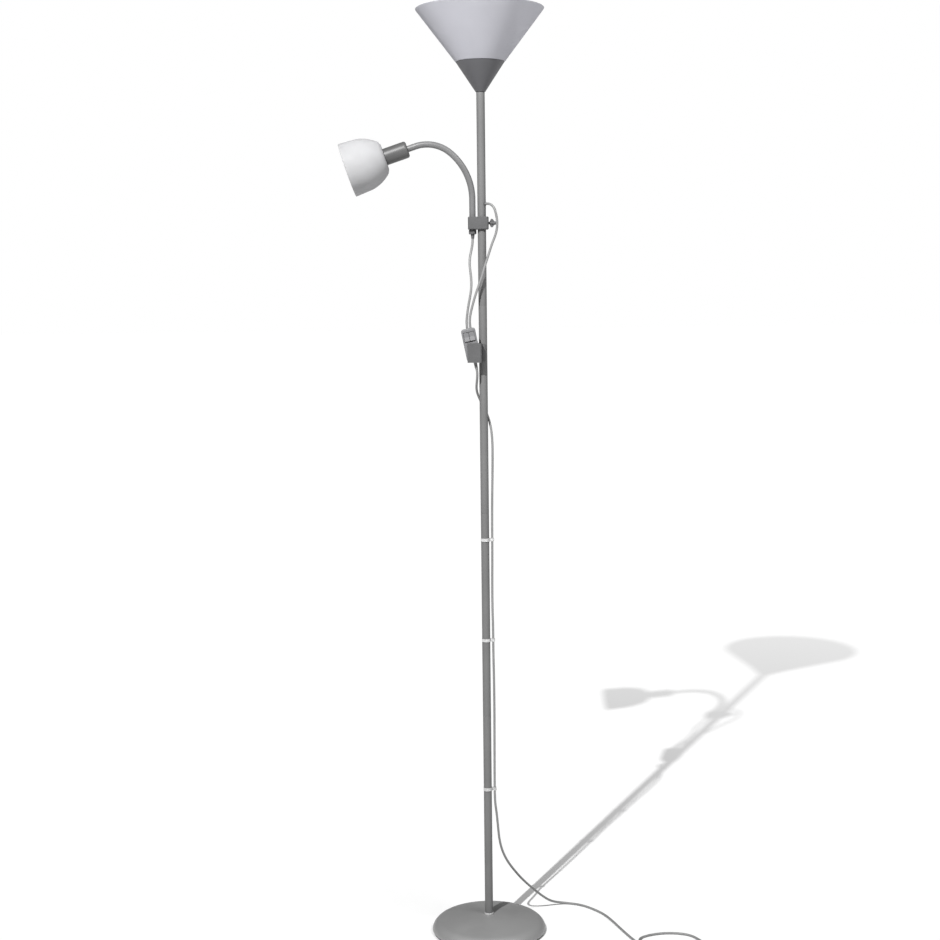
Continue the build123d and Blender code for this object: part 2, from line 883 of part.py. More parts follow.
def switch_shell(front):
    """Half of the housing, open towards the other half."""
    way = 1 if front else -1
    with BuildPart() as shell:
        with BuildSketch(switch_plane):
            RectangleRounded(switch_width, switch_length, switch_corner)
        extrude(amount=way * switch_half_depth)
        outer_face = shell.faces().sort_by(Axis(switch_plane.origin, switch_plane.z_dir * way))[-1]
        fillet(outer_face.edges(), switch_edge)
        with BuildSketch(switch_plane):
            RectangleRounded(
                switch_width - 2 * switch_wall, switch_length - 2 * switch_wall, switch_corner - switch_wall
            )
        extrude(amount=way * (switch_half_depth - switch_wall), mode=Mode.SUBTRACT)
        with BuildSketch(switch_plane):
            with Locations(*screw_places):
                Circle(switch_boss_radius)
        extrude(amount=way * (switch_half_depth - switch_wall))
        with BuildSketch(switch_plane):
            with Locations(*screw_places):
                Circle(switch_screw_radius + push_gap)
        extrude(amount=switch_screw_reach if front else -switch_half_depth, mode=Mode.SUBTRACT)
        for offset_x in (uplight_lead_offset, reading_lead_offset):
            with BuildSketch(switch_along(offset_x, switch_top)):
                Circle(lead_radius + push_gap)
            extrude(amount=-2 * switch_wall, mode=Mode.SUBTRACT)
        with BuildSketch(switch_along(mains_offset, -switch_top)):
            Circle(mains_relief_neck + push_gap)
        extrude(amount=2 * switch_wall, mode=Mode.SUBTRACT)
        if front:
            with BuildSketch(switch_plane.offset(switch_half_depth)):
                with Locations((0, rocker_centre)):
                    Rectangle(rocker_window_width, 2 * (rocker_end_radius + seat_gap))
            extrude(amount=-switch_wall, mode=Mode.SUBTRACT)
            axle_reach = side_wall_inside + rocker_axle_bite + push_gap
            with BuildSketch(switch_across(-axle_reach, rocker_centre, axle_level)):
                Circle(rocker_axle_radius + push_gap)
            extrude(amount=2 * axle_reach, mode=Mode.SUBTRACT)
        else:
            with BuildSketch(switch_plane.offset(-switch_half_depth)):
                with Locations(*screw_places):
                    Circle(switch_screw_head_radius + thread_gap)
            extrude(amount=switch_screw_head_height + seat_gap, mode=Mode.SUBTRACT)
    return shell.part


save(switch_shell(False), "switch_back_shell")
save(switch_shell(True), "switch_front_shell")

with BuildPart() as switch_screws:
    head_seat = switch_screw_head_height + seat_gap - switch_half_depth
    with BuildSketch(switch_plane.offset(head_seat)):
        with Locations(*screw_places):
            Circle(switch_screw_radius)
    extrude(amount=switch_screw_reach - seat_gap - head_seat)
    with BuildSketch(switch_plane.offset(head_seat)):
        with Locations(*screw_places):
            Circle(switch_screw_head_radius)
    extrude(amount=-switch_screw_head_height)
save(switch_screws.part, "switch_screws")

with BuildPart() as switch_contacts:
    with BuildSketch(switch_plane.offset(switch_wall - switch_half_depth)):
        with Locations((0, terminal_centre)):
            with GridLocations(terminal_pitch, 1, 3, 1):
                Rectangle(terminal_width, terminal_height)
    extrude(amount=terminal_depth)
save(switch_contacts.part, "switch_contacts")

with BuildPart() as rocker_axle:
    axle_half = side_wall_inside + rocker_axle_bite
    with BuildSketch(switch_across(-axle_half, rocker_centre, axle_level)):
        Circle(rocker_axle_radius)
    extrude(amount=2 * axle_half)
save(rocker_axle.part, "rocker_axle")


def rocker(side):
    """Rocker with a shallow vee on top and ends that are arcs about its axle."""
    top = rocker_axle_depth + rocker_rise
    base = rocker_axle_depth - rocker_depth
    top_reach = sqrt(rocker_end_radius**2 - top**2)
    base_reach = sqrt(rocker_end_radius**2 - base**2)
    near_side = side * (rocker_gap + rocker_width) / 2 - rocker_width / 2
    with BuildPart() as piece:
        with BuildSketch(switch_across(near_side, rocker_centre, axle_level, -rocker_tilt)):
            with BuildLine():
                ThreePointArc((base_reach, base), (rocker_end_radius, 0), (top_reach, top))
                Polyline((top_reach, top), (0, top - rocker_vee), (-top_reach, top))
                ThreePointArc((-top_reach, top), (-rocker_end_radius, 0), (-base_reach, base))
                Line((-base_reach, base), (base_reach, base))
            make_face()
            Circle(rocker_axle_radius + running_gap, mode=Mode.SUBTRACT)
        extrude(amount=rocker_width)
    return piece.part


save(rocker(1), "rocker_uplight")
save(rocker(-1), "rocker_reading")

relief_side = Plane(
    origin=switch_point(mains_offset, -switch_top), x_dir=switch_plane.x_dir, z_dir=-switch_plane.z_dir
)
mains_relief = spun(
    relief_side,
    [
        (lead_radius + thread_gap, -switch_wall - mains_relief_flange_height),
        (mains_relief_flange, -switch_wall - mains_relief_flange_height),
        (mains_relief_flange, -switch_wall),
        (mains_relief_neck, -switch_wall),
        (mains_relief_neck, 0),
        (mains_relief_root, 0),
        (mains_relief_tip, mains_relief_length),
        (lead_radius + thread_gap, mains_relief_length),
    ],
)
save(mains_relief, "mains_relief")

# ---------------------------------------------------------------- holder that carries the switch on the pole
corner_across = switch_width / 2 - switch_corner
corner_down = switch_length / 2 - switch_corner
lean_sin = sin(radians(switch_lean))
lean_cos = cos(radians(switch_lean))
holder_floor = switch_z - corner_across * lean_sin - corner_down * lean_cos - switch_corner - seat_gap
holder_right = switch_x + corner_across * lean_cos + corner_down * lean_sin + switch_corner + seat_gap
holder_front = switch_y - switch_half_depth - seat_gap
holder_back = switch_y + switch_half_depth + seat_gap
holder_bottom = holder_floor - holder_wall
relief_x = (switch_point(mains_offset, -switch_top) - switch_plane.y_dir * holder_wall * 2).X


def holder_plan(left, right, front, back, corner):
    """Outline of the holder's outside or pocket in plan, with one rounded corner at the front right."""
    Polyline((right - corner, front), (left, front), (left, back), (right, back), (right, front + corner))
    JernArc((right, front + corner), (0, -1), corner, -90)


with BuildPart() as switch_holder:
    with BuildSketch(height_plane(holder_bottom)):
        with BuildLine():
            holder_plan(
                holder_left,
                holder_right + holder_side_wall,
                holder_front - holder_wall,
                holder_back + holder_back_wall,
                holder_corner,
            )
        make_face()
    extrude(amount=holder_top - holder_bottom)
    with BuildSketch(height_plane(holder_bottom + holder_clip_margin)):
        Circle(pole_radius + push_gap + holder_clip_wall)
    extrude(amount=holder_top - holder_bottom - 2 * holder_clip_margin)
    with BuildSketch(height_plane(holder_floor)):
        with BuildLine():
            holder_plan(
                holder_left - holder_wall,
                holder_right,
                holder_front,
                holder_back,
                holder_corner - holder_side_wall,
            )
        make_face()
    extrude(amount=holder_top, mode=Mode.SUBTRACT)
    with BuildSketch(height_plane(holder_bottom)):
        with Locations((relief_x, switch_y)):
            Circle(holder_slot / 2)
        with Locations((relief_x - holder_wall - switch_width / 2, switch_y)):
            Rectangle(2 * holder_wall + switch_width, holder_slot)
    extrude(amount=2 * holder_wall, mode=Mode.SUBTRACT)
    with BuildSketch(height_plane(holder_bottom)):
        Circle(pole_radius + push_gap)
        with BuildLine():
            opening_end = holder_clip_start + holder_clip_wrap - 360
            middle = (holder_clip_start + opening_end) / 2
            rim = 3 * pole_radius
            Polyline(
                (0, 0),
                (rim * cos(radians(holder_clip_start)), rim * sin(radians(holder_clip_start))),
                (rim * cos(radians(middle)), rim * sin(radians(middle))),
                (rim * cos(radians(opening_end)), rim * sin(radians(opening_end))),
                close=True,
            )
        make_face()
    extrude(amount=holder_top - holder_bottom, mode=Mode.SUBTRACT)
save(switch_holder.part, "switch_holder")

# ---------------------------------------------------------------- cable clips
clip_ring_inner = pole_radius + push_gap
clip_hook_inner = lead_radius + clip_hook_gap
with BuildPart() as cable_clips:
    for clip_height in clip_heights:
        with BuildSketch(height_plane(clip_height - clip_band / 2)):
            Circle(clip_ring_inner + clip_wall)
            with Locations((clip_reach, 0)):
                Circle(clip_hook_inner + clip_wall)
            with Locations((clip_reach / 2, 0)):
                Rectangle(clip_reach, clip_slot)
            Circle(clip_ring_inner, mode=Mode.SUBTRACT)
            with Locations((clip_reach, 0)):
                Circle(clip_hook_inner, mode=Mode.SUBTRACT)
            with Locations((clip_reach, clip_reach / 2)):
                Rectangle(clip_slot, clip_reach, mode=Mode.SUBTRACT)
            with Locations((-pole_radius, 0)):
                Rectangle(pole_radius, pole_radius, mode=Mode.SUBTRACT)
        extrude(amount=clip_band)
save(cable_clips.part, "cable_clips")


# ---------------------------------------------------------------- leads
def report_lead(lead, path, name, smallest):
    """Print the lead's length, its tightest radius and its volume against section times length."""
    ratio = lead.volume / (pi * lead_radius**2 * path.length)
    print(f"{name}: {path.length:.0f} mm long, radii {smallest:.1f} mm and up, volume ratio {ratio:.5f}")


def corner_radii(points):
    """Radius at each corner, as large as the two runs beside it allow."""
    radii = []
    for before, corner, after in zip(points, points[1:], points[2:]):
        run_in = corner - before
        run_out = after - corner
        turn = radians(run_in.get_angle(run_out))
        radii.append(corner_share * min(run_in.length, run_out.length) / tan(turn / 2))
    return radii


def cord(route, name):
    """Round lead through a route, written out under its name."""
    points = [Vector(*point) for point in route]
    radii = corner_radii(points)
    with BuildPart() as lead:
        with BuildLine():
            path = FilletPolyline(*points, radius=radii)
        with BuildSketch(path ^ 0):
            Circle(lead_radius)
        sweep(path=path)
    report_lead(lead.part, path, name, min(radii))
    save(lead.part, name)


wire_top = pole_top + uplight_tongue
with BuildPart() as uplight_wire:
    wire_points = [grommet_way * grommet_face + Vector(0, 0, grommet_height)]
    wire_points.append(Vector(0, 0, grommet_height))
    wire_points.append(Vector(0, 0, wire_top))
    with BuildLine():
        wire_path = FilletPolyline(*wire_points, radius=pole_inner_radius - lead_radius)
    with BuildSketch(wire_path ^ 0):
        Circle(lead_radius)
    sweep(path=wire_path)
save(uplight_wire.part, "uplight_wire")

grommet_out = grommet_way * grommet_face + Vector(0, 0, grommet_height)
cord(
    [
        grommet_out,
        grommet_out + grommet_way * 6.8,
        (17.4, -13.6, 1434.5),
        (21.6, -16.9, 1430.7),
        (24.6, -19.2, 1425.4),
        (26.2, -20.4, 1419.2),
        (28.4, -20.6, 1409.5),
        (29.2, -20.6, 1397.5),
        (28.0, -20.4, 1385.5),
        (24.4, -20.2, 1373.5),
        (19.6, -20.0, 1362.5),
        (15.0, -19.9, 1349.0),
        (10.2, -19.8, 1334.5),
        (5.0, -19.8, 1319.0),
        (-1.4, -19.8, 1298.0),
        (-7.2, -20.0, 1282.0),
        (-13.6, -20.3, 1264.5),
        (-19.4, -20.6, 1245.0),
        (-24.0, -20.8, 1227.0),
        switch_point(uplight_lead_offset, switch_top + 9.4),
        switch_point(uplight_lead_offset, switch_top - lead_insert),
    ],
    "uplight_lead",
)

cord(
    [
        (-arm_offset, 0, foot_bottom + 1.0),
        (-arm_offset, 0, 1364.5),
        (-20.2, -2.2, 1350.5),
        (-23.4, -5.2, 1336.5),
        (-24.4, -8.6, 1322.0),
        (-22.8, -11.8, 1307.5),
        (-21.2, -14.6, 1291.5),
        (-21.6, -17.2, 1275.0),
        (-24.4, -19.2, 1258.5),
        (-27.6, -20.3, 1243.0),
        (-29.8, -20.8, 1227.5),
        switch_point(reading_lead_offset, switch_top + 8.9),
        switch_point(reading_lead_offset, switch_top - lead_insert),
    ],
    "reading_lead",
)

coil_low = lead_radius + seat_gap + tie_wall
coil_inner_radius = coil_outer_radius - coil_inward_count * coil_pitch
coil_start = Vector(coil_x - coil_outer_radius, coil_y + coil_lead_in, coil_low)
cord(
    [
        switch_point(mains_offset, lead_insert - switch_top),
        switch_point(mains_offset + 0.05, -39.5),
        switch_point(mains_offset, -53.0),
        (-12.0, -17.2, 1106.5),
        (-13.0, -10.0, 1096.5),
        (-13.9, -1.8, 1086.5),
        (-12.6, 6.6, 1075.5),
        (-7.9, 12.4, 1063.5),
        (-1.8, 15.4, 1050.0),
        (5.8, 14.4, 1035.0),
        (11.6, 10.4, 1018.0),
        (15.2, 4.8, 997.0),
        (16.4, 0.8, 970.0),
        (15.8, -0.4, 925.0),
        (14.4, -0.2, 868.0),
        (13.8, 0.0, 814.0),
        (13.8, 0.0, 764.0),
        (13.0, 0.5, 706.0),
        (12.9, 0.3, 655.0),
        (13.8, 0.0, 615.0),
        (13.8, 0.0, 565.0),
        (14.6, 0.5, 508.0),
        (14.8, 0.2, 452.0),
        (14.4, -0.3, 400.0),
        (14.1, -0.4, 352.0),
        (13.8, 0.0, 315.0),
        (13.8, 0.0, 265.0),
        (17.2, 0.8, 240.0),
        (19.6, 2.5, 212.0),
        (22.0, 7.0, 184.0),
        (27.5, 14.5, 158.0),
        (38.0, 25.5, 132.0),
        (52.5, 40.5, 107.0),
        (70.0, 60.0, 80.0),
        (90.5, 81.0, 54.0),
        (111.0, 102.0, 29.5),
        (131.0, 121.0, 10.0),
        (160.0, 132.5, lead_radius),
        (191.0, 121.5, lead_radius),
        (215.0, 98.0, lead_radius),
        (236.0, 67.5, lead_radius),
        (250.0, 30.8, lead_radius),
        (263.5, -12.7, lead_radius),
        (277.0, -52.0, lead_radius),
        (285.5, -74.0, 2.4),
        (290.3, -92.0, 2.8),
        (coil_x - coil_outer_radius, -107.5, coil_low),
        coil_start,
    ],
    "mains_lead",
)


# ---------------------------------------------------------------- coil of the spare length
def coil_node(quarters):
    """Point and direction of the coil's centre line, a number of quarter turns from its start."""
    quarters_in = 4 * coil_inward_count
    rate = coil_pitch / (2 * pi)
    height = coil_low
    climb = 0.0
    if quarters <= quarters_in:
        radius = coil_outer_radius - coil_pitch * quarters / 4
        growth = -rate
    elif quarters <= quarters_in + 2:
        angle = (quarters - quarters_in) * pi / 2
        share = angle / pi
        radius = coil_inner_radius - rate * angle + rate * angle**2 / pi
        growth = 2 * rate * share - rate
        height += coil_layer_rise * (3 * share**2 - 2 * share**3)
        climb = coil_layer_rise * 6 * share * (1 - share) / pi
    else:
        radius = coil_inner_radius + coil_pitch * (quarters - quarters_in - 2) / 4
        growth = rate
        height += coil_layer_rise
    turned = pi + quarters * pi / 2
    out = Vector(cos(turned), sin(turned), 0)
    along = Vector(-sin(turned), cos(turned), 0)
    point = Vector(coil_x, coil_y, height) + out * radius
    return point, (out * growth + along * radius + Vector(0, 0, climb)).normalized()


def biarc(start, start_way, end, end_way):
    """Two arcs that lead smoothly from one point and direction to another."""
    chord = end - start
    both = start_way + end_way
    bend = 2 * (1 - start_way.dot(end_way))
    across = chord.dot(both)
    reach = (sqrt(across**2 + bend * chord.dot(chord)) - across) / bend
    join = (start + end + (start_way - end_way) * reach) * 0.5
    first = TangentArc(start, join, tangent=start_way)
    second = TangentArc(join, end, tangent=first % 1)
    return [first, second]


def least_gap(path, step=1.0):
    """Smallest distance between the coil's turns, surface to surface, measured on points."""
    count = ceil(path.length / step)
    points = [tuple(path @ (number / count)) for number in range(count + 1)]
    skip = ceil(pi * coil_inner_radius / 2 / step)
    nearest = min(
        (a[0] - b[0]) ** 2 + (a[1] - b[1]) ** 2 + (a[2] - b[2]) ** 2
        for index, a in enumerate(points)
        for b in points[index + skip :]
    )
    return sqrt(nearest) - lead_diameter


coil_quarters = 4 * coil_inward_count + 2 + coil_outward_quarter_count
coil_nodes = [coil_node(quarters) for quarters in range(coil_quarters + 1)]
coil_start_way = Vector(0, -1, 0)
coil_end_way = Vector(-1, 0, 0)
coil_nodes[0] = (coil_nodes[0][0], coil_start_way)
coil_nodes[-1] = (coil_nodes[-1][0], coil_end_way)
coil_end = coil_nodes[-1][0] + coil_end_way * coil_lead_out
with BuildPart() as mains_coil:
    with BuildLine() as coil_line:
        Line(coil_start, coil_nodes[0][0])
        for (start, start_way), (end, end_way) in zip(coil_nodes, coil_nodes[1:]):
            biarc(start, start_way, end, end_way)
        Line(coil_nodes[-1][0], coil_end)
    coil_path = coil_line.wire()
    with BuildSketch(Plane(origin=coil_start, z_dir=coil_start_way)):
        Circle(lead_radius)
    sweep(path=coil_path)
report_lead(mains_coil.part, coil_path, "mains_coil", coil_inner_radius)
print(f"mains_coil: least gap {least_gap(coil_path):.2f} mm")
save(mains_coil.part, "mains_coil")

with BuildPart() as coil_tie:
    inside_near = coil_inner_radius - coil_pitch / 8 - lead_radius - seat_gap
    inside_far = coil_outer_radius - coil_pitch / 4 + lead_radius + seat_gap
    inside_width = inside_far - inside_near
    inside_height = coil_layer_rise + 2 * (lead_radius + seat_gap)
    outside_width = inside_width + 2 * tie_wall
    outside_height = inside_height + 2 * tie_wall
    tie_middle = (coil_y - (inside_near + inside_far) / 2, coil_low + coil_layer_rise / 2)
    with BuildSketch(Plane.YZ.offset(coil_x - tie_width / 2)):
        with Locations(tie_middle):
            RectangleRounded(outside_width, outside_height, lead_radius + tie_wall)
            RectangleRounded(inside_width, inside_height, lead_radius, mode=Mode.SUBTRACT)
    extrude(amount=tie_width)
save(coil_tie.part, "coil_tie")

plug_level = plug_thickness / 2 + plug_lift
cord(
    [
        coil_end,
        coil_end + coil_end_way * 11.4,
        (299.8, -87.0, 6.6),
        (293.9, -76.6, 4.4),
        (293.9, -64.6, 2.8),
        (300.0, -54.2, lead_radius),
        (310.4, -46.6, lead_radius),
        (323.0, -40.8, lead_radius),
        (338.0, -36.2, lead_radius),
        (355.0, -34.4, lead_radius),
        (372.0, -36.2, lead_radius),
        (388.0, -41.5, lead_radius),
        (400.6, -51.4, lead_radius),
        (408.6, -65.2, lead_radius),
        (412.9, -79.6, 3.7),
        (plug_x, -92.0, plug_level),
        (plug_x, plug_start, plug_level),
    ],
    "plug_lead",
)

# ---------------------------------------------------------------- plug
plug_plane = Plane(origin=(plug_x, plug_start, plug_level), x_dir=(1, 0, 0), z_dir=(0, -1, 0))
plug_face = plug_relief_length + plug_length
with BuildPart() as plug_body:
    with BuildSketch(height_plane(plug_lift)):
        with BuildLine():
            Polyline(
                (plug_x - plug_back_width / 2, plug_start - plug_relief_length),
                (plug_x - plug_width / 2, plug_start - plug_relief_length - plug_taper),
                (plug_x - plug_width / 2, plug_start - plug_face),
                (plug_x + plug_width / 2, plug_start - plug_face),
                (plug_x + plug_width / 2, plug_start - plug_relief_length - plug_taper),
                (plug_x + plug_back_width / 2, plug_start - plug_relief_length),
                close=True,
            )
        make_face()
    extrude(amount=plug_thickness)
    fillet(plug_body.edges().filter_by_position(Axis.Y, plug_start - plug_face + 1, 0), plug_edge)
    with BuildSketch(plug_plane):
        Circle(plug_relief_tip)
    with BuildSketch(plug_plane.offset(plug_relief_length)):
        Circle(plug_relief_root)
    loft()
    with BuildSketch(plug_plane.offset(plug_face)):
        with GridLocations(pin_spacing, 1, 2, 1):
            Circle(pin_root_radius + push_gap)
    extrude(amount=-pin_root, mode=Mode.SUBTRACT)
save(plug_body.part, "plug_body")

with BuildPart() as plug_pins:
    with BuildSketch(plug_plane.offset(plug_face)):
        with GridLocations(pin_spacing, 1, 2, 1):
            Circle(pin_radius)
    extrude(amount=pin_length)
    with BuildSketch(plug_plane.offset(plug_face)):
        with GridLocations(pin_spacing, 1, 2, 1):
            Circle(pin_root_radius)
    extrude(amount=-pin_root)
    fillet(plug_pins.edges().group_by(Axis.Y)[0], pin_tip_round)
save(plug_pins.part, "plug_pins")
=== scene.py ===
import bpy
import bmesh
import numpy as np
from math import acos, asin, atan2, cos, degrees, pi, radians, sin, sqrt, tan
from mathutils import Matrix, Vector


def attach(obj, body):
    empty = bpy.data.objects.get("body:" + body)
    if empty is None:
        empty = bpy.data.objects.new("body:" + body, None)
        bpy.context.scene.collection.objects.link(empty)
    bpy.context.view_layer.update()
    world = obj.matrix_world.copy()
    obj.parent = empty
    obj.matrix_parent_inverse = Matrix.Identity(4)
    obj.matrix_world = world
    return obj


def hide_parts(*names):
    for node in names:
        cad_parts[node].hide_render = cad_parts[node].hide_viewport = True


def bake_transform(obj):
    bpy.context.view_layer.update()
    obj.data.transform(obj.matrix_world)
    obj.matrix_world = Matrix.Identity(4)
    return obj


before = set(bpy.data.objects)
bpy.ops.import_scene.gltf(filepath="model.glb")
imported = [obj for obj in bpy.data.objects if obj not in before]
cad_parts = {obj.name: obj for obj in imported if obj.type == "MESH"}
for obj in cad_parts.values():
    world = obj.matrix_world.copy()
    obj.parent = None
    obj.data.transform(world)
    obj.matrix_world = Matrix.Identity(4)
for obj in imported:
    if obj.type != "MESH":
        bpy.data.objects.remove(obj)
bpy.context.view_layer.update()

# Floor lamp: domed base, thin pole, upward cone shade, and a reading light on a flexible arm.
# Metres, +Z up, origin on the floor under the pole, -Y to the front.

scene = bpy.context.scene
scene.view_settings.view_transform = "Standard"

cameraSettings = {
    "place": (-0.028, -3.116, 1.259),
    "dip": 6.1,  # degrees below the level
    "roll": -0.66,
    "lens": 61.8,
}
cameraData = bpy.data.cameras.new("camera")
cameraData.lens = cameraSettings["lens"]
cameraData.sensor_width = 36
cameraData.clip_end = 200
camera = bpy.data.objects.new("camera", cameraData)
scene.collection.objects.link(camera)
camera.matrix_world = (
    Matrix.Translation(cameraSettings["place"])
    @ Matrix.Rotation(radians(90 - cameraSettings["dip"]), 4, "X")
    @ Matrix.Rotation(radians(cameraSettings["roll"]), 4, "Z")
)
scene.camera = camera


# A socket, with its sums written as Python expressions.
class Wire:
    def __init__(self, maker, socket):
        self.maker = maker
        self.socket = socket

    def maths(self, way, left, right):
        return self.maker.add("ShaderNodeMath", {"operation": way}, {0: left, 1: right})

    def __add__(self, other):
        return self.maths("ADD", self, other)

    def __radd__(self, other):
        return self.maths("ADD", other, self)

    def __sub__(self, other):
        return self.maths("SUBTRACT", self, other)

    def __rsub__(self, other):
        return self.maths("SUBTRACT", other, self)

    def __mul__(self, other):
        return self.maths("MULTIPLY", self, other)

    def __rmul__(self, other):
        return self.maths("MULTIPLY", other, self)

    def __truediv__(self, other):
        return self.maths("DIVIDE", self, other)

    def __pow__(self, other):
        return self.maths("POWER", self, other)


# A node tree, and the one way in which its nodes are made.
class NodeMaker:
    def __init__(self, tree):
        self.tree = tree

    def put(self, socket, value):
        if isinstance(value, Wire):
            self.tree.links.new(value.socket, socket)
        else:
            socket.default_value = value

    # A node of a kind, its settings first, then its sockets' values or links.
    def add(self, kind, settings, inputs, output=0):
        node = self.tree.nodes.new(kind)
        for key, value in settings.items():
            setattr(node, key, value)
        for key, value in inputs.items():
            self.put(node.inputs[key], value)
        return Wire(self, node.outputs[output])

    def largest(self, left, right):
        return self.add("ShaderNodeMath", {"operation": "MAXIMUM"}, {0: left, 1: right})


# A material's nodes, and what the finishes share.
class Finish(NodeMaker):
    def __init__(self, name):
        self.material = bpy.data.materials.new(name)
        self.material.use_nodes = True
        super().__init__(self.material.node_tree)
        self.shader = self.tree.nodes["Principled BSDF"]
        self.place = self.add("ShaderNodeTexCoord", {}, {}, "Object")

    def noise(self, scale, detail):
        sockets = {"Vector": self.place, "Scale": scale, "Detail": detail}
        return self.add("ShaderNodeTexNoise", {}, sockets, "Fac")

    # 0 below low, 1 above high and smooth between.
    def step(self, value, low, high):
        settings = {"interpolation_type": "SMOOTHSTEP", "clamp": True}
        return self.add("ShaderNodeMapRange", settings, {"Value": value, "From Min": low, "From Max": high})

    def mix(self, share, first, second):
        return self.add("ShaderNodeMix", {"data_type": "RGBA"}, {0: share, 6: first, 7: second}, 2)

    def bump(self, height, strength, distance):
        sockets = {"Height": height, "Strength": strength, "Distance": distance}
        self.put(self.shader.inputs["Normal"], self.add("ShaderNodeBump", {}, sockets))

    def set(self, **values):
        for key, value in values.items():
            self.put(self.shader.inputs[key.replace("_", " ")], value)
        return self


# Linear colour of a grey from its level on a screen, 0 to 255.
def grey(level, warm=0.0, blue=0.0):
    share = level / 255
    linear = share / 12.92 if share < 0.04045 else ((share + 0.055) / 1.055) ** 2.4
    return (linear * (1 + warm), linear, linear * (1 + blue), 1.0)


# Finishes of plastic and paint. Cloud is the slow drift of the colour, grain the fine texture.
plainFinishes = {
    "polePaint": dict(light=117, dark=111, rough=0.5, grain=900, bump=0.05, cloud=9, coat=0.0, gloss=0.25),
    "basePaint": dict(light=150, dark=144, rough=0.45, metal=0.15, grain=1100, bump=0.08, cloud=14, coat=0.15),
    "cupPlastic": dict(light=92, dark=86, rough=0.5, grain=1500, bump=0.12, cloud=20, blue=0.07),
    "uplightShadePlastic": dict(light=192, dark=187, rough=0.7, grain=700, bump=0.05, cloud=8, blue=0.09, soft=0.3),
    "readingShadePlastic": dict(light=172, dark=166, rough=0.7, grain=800, bump=0.05, cloud=14, blue=0.02, soft=0.3),
    "headPlastic": dict(light=86, dark=80, rough=0.45, grain=1300, bump=0.08, cloud=18),
    "greyPlastic": dict(light=90, dark=84, rough=0.5, grain=1600, bump=0.14, cloud=25, blue=0.02),
    "switchPlastic": dict(light=123, dark=117, rough=0.45, grain=1600, bump=0.12, cloud=22, blue=0.03),
    "armSleeve": dict(light=114, dark=108, rough=0.42, grain=1200, bump=0.06, cloud=22, blue=0.01),
    "trayPlastic": dict(light=46, dark=38, rough=0.6, grain=1200, bump=0.2, cloud=12),
    "padRubber": dict(light=40, dark=30, rough=0.8, grain=1400, bump=0.3, cloud=16),
    "castIron": dict(light=74, dark=52, rough=0.7, metal=0.55, grain=260, bump=0.5, cloud=30),
    "threadSteel": dict(light=186, dark=158, rough=0.34, metal=1.0, grain=1500, bump=0.1, cloud=60),
    "pinMetal": dict(light=206, dark=190, rough=0.24, metal=1.0, grain=1800, bump=0.05, cloud=70, warm=0.04),
    "capMetal": dict(light=212, dark=192, rough=0.3, metal=1.0, grain=1200, bump=0.08, cloud=60),
    "brass": dict(light=196, dark=172, rough=0.32, metal=1.0, grain=1400, bump=0.08, cloud=60, warm=0.25, blue=-0.5),
    "whitePlastic": dict(light=232, dark=224, rough=0.3, grain=1500, bump=0.05, cloud=25, warm=0.02),
    "leadJacket": dict(light=138, dark=130, rough=0.46, grain=2200, bump=0.08, cloud=30),
    "clearPlastic": dict(light=226, dark=216, rough=0.28, grain=1500, bump=0.05, cloud=50, clear=0.35),
    "bulbGlass": dict(light=238, dark=232, rough=0.16, grain=600, bump=0.01, cloud=20, clear=0.3),
}


wear = {
    "drift": (0.35, 0.65),  # noise levels between which the colour drifts
    "driftDetail": 4,
    "dull": (0.55, 0.75),  # and between which it turns duller
    "dullDetail": 3,
    "dullScale": 3.7,  # times the cloud's scale
    "dullRough": 0.05,
    "speckDetail": 2,
    "speckRough": 0.06,
    "coatRough": 0.25,
    "softReach": 0.01,
    "lumpScale": 0.25,  # times the grain's scale
    "lumpHeight": 0.3,
    "bumpDepth": 0.0002,
}


# Colour drifts between light and dark, worn a little duller where a second noise runs high.
def plainFinish(
    name, light, dark, rough, grain, bump, cloud,
    metal=0.0, coat=0.0, gloss=0.5, warm=0.0, blue=0.0, clear=0.0, soft=0.0,
):
    finish = Finish(name)
    drift = finish.step(finish.noise(cloud, wear["driftDetail"]), *wear["drift"])
    dull = finish.step(finish.noise(cloud * wear["dullScale"], wear["dullDetail"]), *wear["dull"])
    speck = finish.noise(grain, wear["speckDetail"])
    lump = finish.noise(grain * wear["lumpScale"], wear["speckDetail"])
    colour = finish.mix(drift, grey(dark, warm, blue), grey(light, warm, blue))
    worn = rough + wear["dullRough"] * dull + wear["speckRough"] * (speck - 0.5)
    finish.set(Base_Color=colour, Roughness=worn, Metallic=metal, Specular_IOR_Level=gloss)
    finish.set(Coat_Weight=coat, Coat_Roughness=wear["coatRough"], Transmission_Weight=clear)
    finish.set(Subsurface_Weight=soft, Subsurface_Radius=(wear["softReach"],) * 3, Subsurface_Scale=1.0)
    finish.bump(speck + wear["lumpHeight"] * lump, bump, wear["bumpDepth"])
    return finish.material


finishes = {name: plainFinish(name, **values) for name, values in plainFinishes.items()}
print("finishes:", len(finishes))


meshing = {"merge": 2e-6, "sliver": 1e-7, "sharpAngle": 38}


